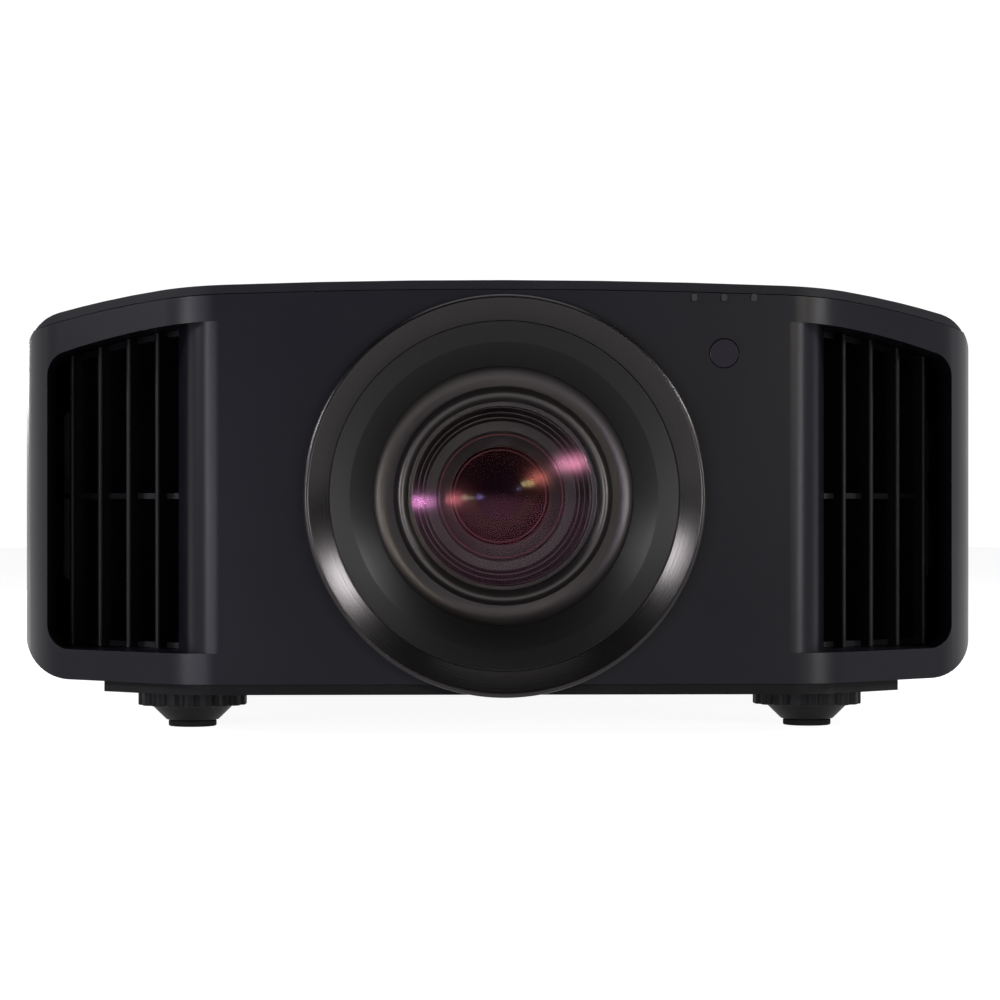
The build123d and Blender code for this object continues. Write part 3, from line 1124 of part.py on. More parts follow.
with BuildPart() as rear_panel:
    add(PANEL_PLATE)
    add(PANEL_FLANGE)
    with BuildSketch(wall_plane(PANEL_Y)):
        with Locations((DOOR_X, DOOR_Z)):
            Rectangle(DOOR_WIDTH + 2 * (DOOR_GAP + POCKET_WALL), DOOR_HEIGHT + 2 * (DOOR_GAP + POCKET_WALL))
    extrude(amount=WALL + FILTER_THICK)
    with BuildSketch(wall_plane(PANEL_Y)):
        with Locations((DOOR_X, DOOR_Z)):
            Rectangle(DOOR_WIDTH + 2 * DOOR_GAP, DOOR_HEIGHT + 2 * DOOR_GAP)
    extrude(amount=WALL + FILTER_THICK, mode=Mode.SUBTRACT)
    with BuildSketch(Plane((DOOR_X - DOOR_WIDTH / 2 - PIVOT_LENGTH, HINGE_Y, HINGE_Z), z_dir=(1, 0, 0))):
        Circle(PIVOT_R + RUN_CLEAR)
    extrude(amount=DOOR_WIDTH + 2 * PIVOT_LENGTH, mode=Mode.SUBTRACT)
    with BuildSketch(wall_plane(PANEL_IN)):
        with Locations(*MAIN_POSTS):
            Circle(POST_R)
    extrude(amount=BOARD_GAP)
    with BuildSketch(wall_plane(PANEL_Y)):
        with Locations((INLET_X, INLET_Z)):
            Rectangle(INLET_PLATE_WIDTH + 2 * SOCKET_SPARE, INLET_PLATE_TALL + 2 * SOCKET_SPARE)
        with Locations((SOCKET_PLATE_X, SOCKET_Z)):
            Rectangle(SOCKET_PLATE_WIDTH + 2 * SOCKET_SPARE, SOCKET_PLATE_TALL + 2 * SOCKET_SPARE)
        for button_x, button_z, button_r in BUTTONS.values():
            with Locations((button_x, button_z)):
                Circle(button_r + BUTTON_GAP)
    extrude(amount=WALL, mode=Mode.SUBTRACT)
save(rear_panel.part, "rear_panel")

# Filter door with slots, hinged along its lower edge, and the foam filter behind it
SLOT_PITCH = (DOOR_HEIGHT - 3 * DOOR_THICK) / DOOR_SLOTS
FIRST_SLOT = DOOR_LOW + 2 * DOOR_THICK + SLOT_PITCH / 2
PIVOT_END = DOOR_X - DOOR_WIDTH / 2 - PIVOT_LENGTH + FIT_GAP
with BuildPart() as filter_door:
    with BuildSketch(Plane((DOOR_X - DOOR_WIDTH / 2, HINGE_Y, HINGE_Z), x_dir=(0, 1, 0), z_dir=(1, 0, 0))):
        Circle(DOOR_THICK / 2)
        Rectangle(DOOR_THICK, DOOR_HEIGHT - DOOR_THICK / 2, align=(Align.CENTER, Align.MIN))
    extrude(amount=DOOR_WIDTH)
    with BuildSketch(wall_plane(PANEL_Y)):
        with Locations(*[(DOOR_X, FIRST_SLOT + SLOT_PITCH * i) for i in range(DOOR_SLOTS)]):
            SlotOverall(DOOR_WIDTH - 4 * DOOR_THICK, SLOT_TALL)
    extrude(amount=DOOR_THICK, mode=Mode.SUBTRACT)
    with BuildSketch(Plane((PIVOT_END, HINGE_Y, HINGE_Z), z_dir=(1, 0, 0))):
        Circle(PIVOT_R)
    extrude(amount=DOOR_WIDTH + 2 * (PIVOT_LENGTH - FIT_GAP))
save(filter_door.part, "filter_door")

with BuildPart() as air_filter:
    with BuildSketch(wall_plane(PANEL_Y - DOOR_THICK - FIT_GAP)):
        with Locations((DOOR_X, DOOR_Z)):
            Rectangle(DOOR_WIDTH + DOOR_GAP, DOOR_HEIGHT + DOOR_GAP)
    extrude(amount=FILTER_THICK + WALL - DOOR_THICK - FIT_GAP)
save(air_filter.part, "air_filter")

# Mains inlet, signal sockets and the main board that carries the sockets and switches
with BuildPart() as mains_inlet:
    with BuildSketch(wall_plane(PANEL_Y)):
        with Locations((INLET_X, INLET_Z)):
            Rectangle(INLET_WIDTH, INLET_TALL)
    extrude(amount=INLET_DEPTH)
    with BuildSketch(wall_plane(PANEL_Y)):
        with Locations((INLET_X, INLET_Z)):
            Rectangle(INLET_PLATE_WIDTH, INLET_PLATE_TALL)
    extrude(amount=WALL)
    with BuildSketch(wall_plane(PANEL_IN)):
        with Locations((INLET_X, INLET_Z)):
            Rectangle(INLET_PLATE_WIDTH, INLET_PLATE_TALL + 4 * FLANGE_LAP)
    extrude(amount=FLANGE_LAP)
    with BuildSketch(wall_plane(PANEL_Y)):
        with Locations((INLET_X, INLET_Z)):
            RectangleRounded(INLET_WIDTH - 2 * FLANGE_LAP, INLET_TALL - 2 * FLANGE_LAP, 2 * FLANGE_LAP)
    extrude(amount=INLET_DEPTH - 2 * FLANGE_LAP, mode=Mode.SUBTRACT)
    with BuildSketch(wall_plane(PANEL_Y - INLET_DEPTH / 4)):
        with Locations((INLET_X, INLET_Z)):
            with Locations(*[(INLET_WIDTH / 4 * i, INLET_TALL / 8 * (1 - 2 * abs(i))) for i in (-1, 0, 1)]):
                Rectangle(FLANGE_LAP, 2 * FLANGE_LAP)
    extrude(amount=INLET_DEPTH * 3 / 4 - FLANGE_LAP)
save(mains_inlet.part, "mains_inlet")

SOCKET_DEPTH = PANEL_Y - BOARD_Y
with BuildPart() as signal_sockets:
    for socket_x, socket_width, socket_tall in SOCKETS.values():
        with BuildSketch(wall_plane(PANEL_Y)):
            with Locations((socket_x, SOCKET_Z)):
                Rectangle(socket_width + 2 * SOCKET_WALL, socket_tall + 2 * SOCKET_WALL)
        extrude(amount=SOCKET_DEPTH)
        with BuildSketch(wall_plane(PANEL_Y)):
            with Locations((socket_x, SOCKET_Z)):
                Rectangle(socket_width, socket_tall)
        extrude(amount=SOCKET_DEPTH - SOCKET_WALL * 3, mode=Mode.SUBTRACT)
save(signal_sockets.part, "signal_sockets")

# Plate in the rear panel that the signal sockets look through
with BuildPart() as socket_plate:
    with BuildSketch(wall_plane(PANEL_Y)):
        with Locations((SOCKET_PLATE_X, SOCKET_Z)):
            Rectangle(SOCKET_PLATE_WIDTH, SOCKET_PLATE_TALL)
    extrude(amount=WALL)
    with BuildSketch(wall_plane(PANEL_IN)):
        with Locations((SOCKET_PLATE_X, SOCKET_Z)):
            Rectangle(SOCKET_PLATE_WIDTH, SOCKET_PLATE_TALL + 4 * FLANGE_LAP)
    extrude(amount=FLANGE_LAP)
    with BuildSketch(wall_plane(PANEL_Y)):
        for socket_x, socket_width, socket_tall in SOCKETS.values():
            with Locations((socket_x, SOCKET_Z)):
                Rectangle(socket_width + 2 * (SOCKET_WALL + SOCKET_SPARE),
                          socket_tall + 2 * (SOCKET_WALL + SOCKET_SPARE))
    extrude(amount=WALL + FLANGE_LAP, mode=Mode.SUBTRACT)
save(socket_plate.part, "socket_plate")

with BuildPart() as main_board:
    with BuildSketch(wall_plane(BOARD_Y)):
        with Locations((MAIN_X, MAIN_MID)):
            Rectangle(MAIN_RIGHT - MAIN_LEFT, MAIN_HIGH - MAIN_LOW)
    extrude(amount=BOARD_THICK)
    with BuildSketch(wall_plane(BOARD_Y + SWITCH_TALL)):
        for button_x, button_z, button_r in BUTTONS.values():
            with Locations((button_x, button_z)):
                Rectangle(SWITCH_SIZE, SWITCH_SIZE)
    extrude(amount=SWITCH_TALL)
    with BuildSketch(wall_plane(BOARD_Y - BOARD_THICK)):
        with Locations((MAIN_X, MAIN_MID)):
            Rectangle(PROCESSOR, PROCESSOR)
        for side in (-1, 1):
            with Locations((MAIN_X + side * CHIP_REACH, MAIN_MID)):
                with GridLocations(MEMORY_PITCH_X, MEMORY_PITCH_Z, 2, 2 + side):
                    Rectangle(MEMORY_WIDTH, MEMORY_TALL)
    extrude(amount=SWITCH_TALL)
save(main_board.part, "main_board")

# Buttons: caps through the rear panel, held by a flange, with a stem over each switch
for button_name, (button_x, button_z, button_r) in BUTTONS.items():
    stem_end = BOARD_Y + SWITCH_TALL + BUTTON_TRAVEL + SLIDE_CLEAR
    button_plane = Plane((button_x, PANEL_Y + BUTTON_PROUD, button_z), x_dir=(1, 0, 0), z_dir=(0, -1, 0))
    with BuildPart() as button:
        with BuildSketch(button_plane):
            Circle(button_r)
        extrude(amount=BUTTON_PROUD + WALL + BUTTON_FLANGE)
        fillet(button.edges().group_by(Axis.Y)[-1], BUTTON_PROUD / 2)
        with BuildSketch(wall_plane(PANEL_IN - RUN_CLEAR)):
            with Locations((button_x, button_z)):
                Circle(button_r + BUTTON_FLANGE)
        extrude(amount=BUTTON_FLANGE)
        with BuildSketch(wall_plane(PANEL_IN)):
            with Locations((button_x, button_z)):
                Circle(STEM_R)
        extrude(amount=PANEL_IN - stem_end)
    save(button.part, button_name)
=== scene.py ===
"""Looks of a large home projector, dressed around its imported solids."""

import json
import logging
import math
from dataclasses import dataclass, field
from enum import Enum
from typing import Callable, Sequence

import bmesh
import bpy
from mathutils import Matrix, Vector


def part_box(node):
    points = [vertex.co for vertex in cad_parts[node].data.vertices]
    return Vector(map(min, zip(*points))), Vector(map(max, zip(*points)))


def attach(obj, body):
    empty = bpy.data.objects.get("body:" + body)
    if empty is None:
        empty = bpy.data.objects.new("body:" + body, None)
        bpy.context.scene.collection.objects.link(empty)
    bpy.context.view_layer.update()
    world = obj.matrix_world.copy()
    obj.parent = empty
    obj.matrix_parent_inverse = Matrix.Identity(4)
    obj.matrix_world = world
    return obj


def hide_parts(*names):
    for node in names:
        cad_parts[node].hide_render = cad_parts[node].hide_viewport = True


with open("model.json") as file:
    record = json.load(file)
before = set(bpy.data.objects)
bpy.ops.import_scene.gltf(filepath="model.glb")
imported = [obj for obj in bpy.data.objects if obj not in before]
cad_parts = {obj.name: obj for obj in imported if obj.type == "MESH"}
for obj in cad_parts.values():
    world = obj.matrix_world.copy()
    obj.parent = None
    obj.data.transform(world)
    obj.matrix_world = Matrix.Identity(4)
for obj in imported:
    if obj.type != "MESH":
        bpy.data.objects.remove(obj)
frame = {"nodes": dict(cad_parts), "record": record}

LOG = logging.getLogger("projector")
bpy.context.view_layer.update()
MM = 0.001
LENS_Z = 0.120
LENS_SHARP = 50.0
DOME_STEPS = 24
SHELL_SHARP = 38.0
FLAT_SPREAD = 0.4
MERGE = 1e-6
CORNER_SHARE = 0.45
INNER_SEGMENTS = 128
INNER_ROUNDING = 0.15 * MM
COAT_ROUGHNESS = 0.12
ROUGHNESS_SWING = 0.08
GRAIN_RISE = 0.2 * MM
DUST_ROUGHNESS = 0.3

Colour = tuple[float, float, float]
Profile = list[tuple[float, float]]

DUST_COLOUR: Colour = (0.22, 0.21, 0.20)


class Body(Enum):
    """Moving groups that pieces ride on."""

    CASING = "casing"
    FRONT_GROUP = "front_group"
    ZOOM_GROUP = "zoom_group"


class Effect(Enum):
    """Shared surface effects, each one shader node group."""

    GRAIN = "moulded_grain"
    WEAR = "edge_wear"
    DUST = "settled_dust"
    SPUN = "spun_lines"


def carrier(node: str) -> str:
    """Name of the body that carries a node."""
    bodies = frame["record"]["behaviour"]["bodies"]
    return next(body for body, nodes in bodies.items() if node in nodes)


class NodeBench:
    """Adds nodes to one tree and links them."""

    def __init__(self, tree: bpy.types.NodeTree) -> None:
        """Keep the tree that the nodes go into."""
        self.tree = tree

    def add(self, kind: str, values: dict | None = None, **settings: object) -> bpy.types.Node:
        """Add a node.

        Args:
            kind: The node's type name.
            values: Input values by socket name or number.
            settings: Plain properties of the node.

        Returns:
            The new node.
        """
        node = self.tree.nodes.new(kind)
        for key, value in settings.items():
            setattr(node, key, value)
        for key, value in (values or {}).items():
            node.inputs[key].default_value = value
        return node

    def link(self, source: bpy.types.NodeSocket, target: bpy.types.NodeSocket) -> None:
        """Join an output to an input."""
        self.tree.links.new(source, target)

    def math(self, operation: str, first: object, second: object = 0.0) -> bpy.types.NodeSocket:
        """Add a math node.

        Args:
            operation: The node's operation.
            first: A socket or a number.
            second: A socket or a number.

        Returns:
            The node's output.
        """
        node = self.add("ShaderNodeMath", operation=operation)
        for place, value in enumerate((first, second)):
            if isinstance(value, bpy.types.NodeSocket):
                self.link(value, node.inputs[place])
            else:
                node.inputs[place].default_value = value
        return node.outputs[0]

    def spread(self, value: bpy.types.NodeSocket, low: float, high: float,
               new_low: float = 0.0, new_high: float = 1.0) -> bpy.types.NodeSocket:
        """Map a value from one range onto another, clamped.

        Args:
            value: The socket to map.
            low: Start of the old range.
            high: End of the old range.
            new_low: Start of the new range.
            new_high: End of the new range.

        Returns:
            The mapped value's socket.
        """
        node = self.add("ShaderNodeMapRange", {1: low, 2: high, 3: new_low, 4: new_high})
        self.link(value, node.inputs[0])
        return node.outputs[0]


class SurfaceEffects:
    """Builds the shared shader groups once and places them in materials."""

    def __init__(self) -> None:
        """Make every group."""
        self.groups = {
            Effect.GRAIN: self._grain(),
            Effect.WEAR: self._wear(),
            Effect.DUST: self._dust(),
            Effect.SPUN: self._spun(),
        }

    @staticmethod
    def _start(effect: Effect, inputs: dict[str, float],
               outputs: Sequence[str]) -> tuple[NodeBench, bpy.types.Node, bpy.types.Node]:
        """Open a group tree with its sockets.

        Args:
            effect: Which effect the group makes.
            inputs: Input names with their usual values.
            outputs: Output names.

        Returns:
            The bench, the group's input node and its output node.
        """
        tree = bpy.data.node_groups.new(effect.value, "ShaderNodeTree")
        for name, value in inputs.items():
            socket = tree.interface.new_socket(name, in_out="INPUT", socket_type="NodeSocketFloat")
            socket.default_value = value
        for name in outputs:
            tree.interface.new_socket(name, in_out="OUTPUT", socket_type="NodeSocketFloat")
        bench = NodeBench(tree)
        return bench, bench.add("NodeGroupInput"), bench.add("NodeGroupOutput")

    def _grain(self) -> bpy.types.NodeTree:
        """Fine moulded grain with a slow mottle.

        Returns:
            The group's tree.
        """
        bench, given, out = self._start(Effect.GRAIN, {"Scale": 900.0, "Mottle Scale": 14.0},
                                        ("Height", "Mottle"))
        place = bench.add("ShaderNodeTexCoord").outputs["Object"]
        fine = bench.add("ShaderNodeTexNoise", {"Detail": 2.0, "Roughness": 0.55})
        bench.link(place, fine.inputs["Vector"])
        bench.link(given.outputs["Scale"], fine.inputs["Scale"])
        cell = bench.add("ShaderNodeTexVoronoi")
        bench.link(place, cell.inputs["Vector"])
        bench.link(bench.math("MULTIPLY", given.outputs["Scale"], 0.7), cell.inputs["Scale"])
        bench.link(bench.math("ADD", bench.math("MULTIPLY", fine.outputs["Fac"], 0.6),
                              bench.math("MULTIPLY", cell.outputs["Distance"], 0.4)), out.inputs["Height"])
        slow = bench.add("ShaderNodeTexNoise", {"Detail": 4.0, "Roughness": 0.6})
        bench.link(place, slow.inputs["Vector"])
        bench.link(given.outputs["Mottle Scale"], slow.inputs["Scale"])
        bench.link(bench.spread(slow.outputs["Fac"], 0.25, 0.75), out.inputs["Mottle"])
        return bench.tree

    def _wear(self) -> bpy.types.NodeTree:
        """Rubbed edges, broken up by a noise.

        Returns:
            The group's tree.
        """
        bench, given, out = self._start(Effect.WEAR, {"Amount": 0.5}, ("Mask",))
        edge = bench.spread(bench.add("ShaderNodeNewGeometry").outputs["Pointiness"], 0.52, 0.60)
        place = bench.add("ShaderNodeTexCoord").outputs["Object"]
        noise = bench.add("ShaderNodeTexNoise", {"Scale": 60.0, "Detail": 5.0})
        bench.link(place, noise.inputs["Vector"])
        broken = bench.math("MULTIPLY", edge, bench.spread(noise.outputs["Fac"], 0.35, 0.7, 0.25, 1.0))
        bench.link(bench.math("MULTIPLY", broken, given.outputs["Amount"]), out.inputs["Mask"])
        return bench.tree

    def _dust(self) -> bpy.types.NodeTree:
        """Thin dust on faces that look up.

        Returns:
            The group's tree.
        """
        bench, given, out = self._start(Effect.DUST, {"Amount": 0.2}, ("Mask",))
        axes = bench.add("ShaderNodeSeparateXYZ")
        bench.link(bench.add("ShaderNodeNewGeometry").outputs["Normal"], axes.inputs[0])
        up = bench.spread(axes.outputs["Z"], 0.55, 1.0)
        place = bench.add("ShaderNodeTexCoord").outputs["Object"]
        noise = bench.add("ShaderNodeTexNoise", {"Scale": 420.0, "Detail": 4.0, "Roughness": 0.7})
        bench.link(place, noise.inputs["Vector"])
        patch = bench.math("MULTIPLY", up, bench.spread(noise.outputs["Fac"], 0.45, 0.8))
        bench.link(bench.math("MULTIPLY", patch, given.outputs["Amount"]), out.inputs["Mask"])
        return bench.tree

    def _spun(self) -> bpy.types.NodeTree:
        """Fine turned lines around the lens axis.

        Returns:
            The group's tree.
        """
        bench, given, out = self._start(Effect.SPUN, {"Density": 3000.0, "Centre": LENS_Z},
                                        ("Height", "Tone"))
        axes = bench.add("ShaderNodeSeparateXYZ")
        bench.link(bench.add("ShaderNodeTexCoord").outputs["Object"], axes.inputs[0])
        across = bench.math("POWER", axes.outputs["X"], 2.0)
        upright = bench.math("POWER", bench.math("SUBTRACT", axes.outputs["Z"], given.outputs["Centre"]), 2.0)
        radius = bench.math("SQRT", bench.math("ADD", across, upright))
        along = bench.math("ADD", radius, bench.math("MULTIPLY", axes.outputs["Y"], 0.7))
        line = bench.add("ShaderNodeTexNoise", {"Scale": 1.0, "Detail": 3.0}, noise_dimensions="1D")
        bench.link(bench.math("MULTIPLY", along, given.outputs["Density"]), line.inputs["W"])
        bench.link(line.outputs["Fac"], out.inputs["Height"])
        bench.link(bench.spread(line.outputs["Fac"], 0.3, 0.7), out.inputs["Tone"])
        return bench.tree

    def place(self, bench: NodeBench, effect: Effect, **values: float) -> bpy.types.Node:
        """Put a group into a material's tree.

        Args:
            bench: The material's bench.
            effect: Which effect to place.
            values: Input values, with underscores for spaces.

        Returns:
            The group node.
        """
        node = bench.add("ShaderNodeGroup", node_tree=self.groups[effect])
        for key, value in values.items():
            node.inputs[key.replace("_", " ")].default_value = value
        return node


@dataclass(frozen=True)
class Finish:
    """An opaque finish: colour, gloss, grain, rubbed edges and dust."""

    name: str
    colour: Colour
    roughness: float
    metallic: float = 0.0
    specular: float = 0.5
    grain_scale: float = 900.0
    grain_depth: float = 0.12
    mottle: float = 0.12
    wear: float = 0.0
    wear_colour: Colour = (0.10, 0.10, 0.105)
    dust: float = 0.0
    spun: float = 0.0
    coat: float = 0.0

    def material(self, effects: SurfaceEffects) -> bpy.types.Material:
        """Build the finish's material.

        Args:
            effects: The shared groups.

        Returns:
            The material.
        """
        made = bpy.data.materials.new(self.name)
        made.use_nodes = True
        bench = NodeBench(made.node_tree)
        bench.tree.nodes.clear()
        shader = bench.add("ShaderNodeBsdfPrincipled")
        shader.inputs["Metallic"].default_value = self.metallic
        shader.inputs["Specular IOR Level"].default_value = self.specular
        if self.coat:
            shader.inputs["Coat Weight"].default_value = self.coat
            shader.inputs["Coat Roughness"].default_value = COAT_ROUGHNESS
        out = bench.add("ShaderNodeOutputMaterial")
        bench.link(shader.outputs[0], out.inputs["Surface"])
        grain = effects.place(bench, Effect.GRAIN, Scale=self.grain_scale)
        shade = bench.spread(grain.outputs["Mottle"], 0.0, 1.0, 1.0 - self.mottle, 1.0 + self.mottle)
        tint = bench.add("ShaderNodeMix", data_type="RGBA", blend_type="MULTIPLY")
        tint.inputs["Factor"].default_value = 1.0
        tint.inputs["A"].default_value = (*self.colour, 1.0)
        bench.link(shade, tint.inputs["B"])
        colour = tint.outputs["Result"]
        rough = bench.spread(grain.outputs["Mottle"], 0.0, 1.0, self.roughness * (1.0 - ROUGHNESS_SWING),
                             min(self.roughness * (1.0 + ROUGHNESS_SWING), 1.0))
        height = grain.outputs["Height"]
        if self.spun:
            spun = effects.place(bench, Effect.SPUN, Density=self.spun)
            height = bench.math("ADD", bench.math("MULTIPLY", height, 0.3), spun.outputs["Height"])
            rough = bench.math("MULTIPLY", rough, bench.spread(spun.outputs["Tone"], 0.0, 1.0, 0.9, 1.1))
        if self.wear:
            wear = effects.place(bench, Effect.WEAR, Amount=self.wear)
            colour = self._over(bench, colour, self.wear_colour, wear.outputs["Mask"])
        if self.dust:
            dust = effects.place(bench, Effect.DUST, Amount=self.dust)
            colour = self._over(bench, colour, DUST_COLOUR, dust.outputs["Mask"])
            rough = bench.math("ADD", rough, bench.math("MULTIPLY", dust.outputs["Mask"], DUST_ROUGHNESS))
        bench.link(colour, shader.inputs["Base Color"])
        bench.link(rough, shader.inputs["Roughness"])
        bump = bench.add("ShaderNodeBump", {"Strength": self.grain_depth, "Distance": GRAIN_RISE})
        bench.link(height, bump.inputs["Height"])
        bench.link(bump.outputs[0], shader.inputs["Normal"])
        return made

    @staticmethod
    def _over(bench: NodeBench, below: bpy.types.NodeSocket, above: Colour,
              mask: bpy.types.NodeSocket) -> bpy.types.NodeSocket:
        """Lay a colour over another by a mask.

        Args:
            bench: The material's bench.
            below: The colour underneath.
            above: The colour on top.
            mask: Where the upper colour shows.

        Returns:
            The mixed colour's socket.
        """
        mix = bench.add("ShaderNodeMix", data_type="RGBA")
        bench.link(mask, mix.inputs["Factor"])
        bench.link(below, mix.inputs["A"])
        mix.inputs["B"].default_value = (*above, 1.0)
        return mix.outputs["Result"]


@dataclass(frozen=True)
class CoatedGlass:
    """Lens glass: mostly clear, with a coloured reflection from its coating and a trace of haze."""

    name: str
    body: Colour
    sheen: Colour
    alpha: float
    ior: float = 2.2
    roughness: float = 0.03

    def material(self, effects: SurfaceEffects) -> bpy.types.Material:
        """Build the glass material.

        Args:
            effects: The shared groups.

        Returns:
            The material.
        """
        made = bpy.data.materials.new(self.name)
        made.use_nodes = True
        bench = NodeBench(made.node_tree)
        bench.tree.nodes.clear()
        shader = bench.add("ShaderNodeBsdfPrincipled")
        shader.inputs["Base Color"].default_value = (*self.body, 1.0)
        shader.inputs["IOR"].default_value = self.ior
        shader.inputs["Specular Tint"].default_value = (*self.sheen, 1.0)
        shader.inputs["Alpha"].default_value = self.alpha
        out = bench.add("ShaderNodeOutputMaterial")
        bench.link(shader.outputs[0], out.inputs["Surface"])
        grain = effects.place(bench, Effect.GRAIN, Scale=20.0, Mottle_Scale=9.0)
        haze = bench.spread(grain.outputs["Mottle"], 0.0, 1.0, self.roughness, self.roughness * 1.6)
        bench.link(haze, shader.inputs["Roughness"])
        return made


class MeshShop:
    """Makes plain meshes: turned shapes, softened copies and node trees turned into meshes."""

    @staticmethod
    def piece(name: str, mesh: bpy.types.Mesh) -> bpy.types.Object:
        """Put a mesh into the scene as an object at the origin.

        Args:
            name: The object's name.
            mesh: Its mesh.

        Returns:
            The object.
        """
        made = bpy.data.objects.new(name, mesh)
        bpy.context.scene.collection.objects.link(made)
        return made

    @staticmethod
    def smooth(mesh: bpy.types.Mesh, angle: float = 35.0) -> None:
        """Shade a mesh smooth up to an angle in degrees."""
        mesh.polygons.foreach_set("use_smooth", [True] * len(mesh.polygons))
        mesh.set_sharp_from_angle(angle=math.radians(angle))

    @staticmethod
    def rounded(points: Profile, radius: float, steps: int = 4) -> Profile:
        """Round the corners of a closed profile.

        Args:
            points: Corners in order.
            radius: Largest reach of a rounding along its two sides.
            steps: Points along each rounding, less one.

        Returns:
            The rounded profile.
        """
        made: Profile = []
        count = len(points)
        for i, corner in enumerate(points):
            here = Vector(corner)
            before = Vector(points[i - 1])
            after = Vector(points[(i + 1) % count])
            room = min((before - here).length, (after - here).length)
            reach = min(radius, room * CORNER_SHARE)
            start = here + (before - here).normalized() * reach
            end = here + (after - here).normalized() * reach
            for step in range(steps + 1):
                t = step / steps
                spot = start * (1 - t) ** 2 + here * 2 * t * (1 - t) + end * t ** 2
                made.append((spot.x, spot.y))
        return made

    @classmethod
    def turned(cls, name: str, profile: Profile, centre: Vector, segments: int = 192,
               angle: float = 35.0) -> bpy.types.Object:
        """Turn a closed profile about an axis along Y.

        Args:
            name: The object's name.
            profile: Corners as (along the axis, radius).
            centre: A point on the axis.
            segments: Divisions around.
            angle: Shading angle in degrees.

        Returns:
            The turned object.
        """
        mesh = bpy.data.meshes.new(name)
        shape = bmesh.new()
        rings = []
        for along, radius in profile:
            ring = []
            for i in range(segments):
                turn = 2 * math.pi * i / segments
                spot = Vector((radius * math.cos(turn), along, radius * math.sin(turn)))
                ring.append(shape.verts.new(spot + centre))
            rings.append(ring)
        for low, high in zip(rings, rings[1:] + rings[:1]):
            for i in range(segments):
                j = (i + 1) % segments
                shape.faces.new((low[i], low[j], high[j], high[i]))
        bmesh.ops.remove_doubles(shape, verts=shape.verts, dist=1e-7)
        bmesh.ops.dissolve_degenerate(shape, edges=shape.edges, dist=1e-8)
        bmesh.ops.recalc_face_normals(shape, faces=shape.faces)
        shape.to_mesh(mesh)
        shape.free()
        cls.smooth(mesh, angle)
        return cls.piece(name, mesh)

    @classmethod
    def baked(cls, worked: bpy.types.Object, name: str) -> bpy.types.Object:
        """Turn an object with modifiers into a plain mesh object.

        Args:
            worked: The object with its modifiers.
            name: The new object's name.

        Returns:
            The plain object; the worked one is removed.
        """
        bpy.context.view_layer.update()
        graph = bpy.context.evaluated_depsgraph_get()
        mesh = bpy.data.meshes.new_from_object(worked.evaluated_get(graph))
        mesh.name = name
        bpy.data.objects.remove(worked)
        return cls.piece(name, mesh)

    @classmethod
    def softened(cls, node: str, width: float, segments: int = 2) -> bpy.types.Object:
        """Copy a CAD node with its sharp edges rounded.

        Args:
            node: The node's name.
            width: Width of the rounding.
            segments: Faces across it.

        Returns:
            The softened copy.
        """
        mesh = frame["nodes"][node].data.copy()
        shape = bmesh.new()
        shape.from_mesh(mesh)
        bmesh.ops.remove_doubles(shape, verts=shape.verts, dist=MERGE)
        bmesh.ops.dissolve_limit(shape, angle_limit=math.radians(FLAT_SPREAD), verts=shape.verts,
                                 edges=shape.edges)
        shape.to_mesh(mesh)
        shape.free()
        mesh.materials.clear()
        cls.smooth(mesh, SHELL_SHARP)
        worked = cls.piece(f"{node}_soft", mesh)
        bevel = worked.modifiers.new("edges", "BEVEL")
        bevel.width = width
        bevel.segments = segments
        bevel.limit_method = "ANGLE"
        bevel.angle_limit = math.radians(SHELL_SHARP)
        bevel.use_clamp_overlap = True
        even = worked.modifiers.new("shading", "WEIGHTED_NORMAL")
        even.weight = 50
        return cls.baked(worked, f"{node}_finished")

    @classmethod
    def grown(cls, name: str, tree: bpy.types.NodeTree, values: dict[str, object],
              base: bpy.types.Mesh | None = None) -> bpy.types.Object:
        """Run a geometry tree once and keep its result as a plain mesh.

        Args:
            name: The new object's name.
            tree: The geometry tree.
            values: Values of its named inputs.
            base: Mesh that the tree starts from.

        Returns:
            The plain object.
        """
        worked = cls.piece(f"{name}_work", base or bpy.data.meshes.new(f"{name}_work"))
        modifier = worked.modifiers.new("grow", "NODES")
        modifier.node_group = tree
        for item in tree.interface.items_tree:
            if item.item_type == "SOCKET" and item.in_out == "INPUT" and item.name in values:
                modifier[item.identifier] = values[item.name]
        return cls.baked(worked, name)


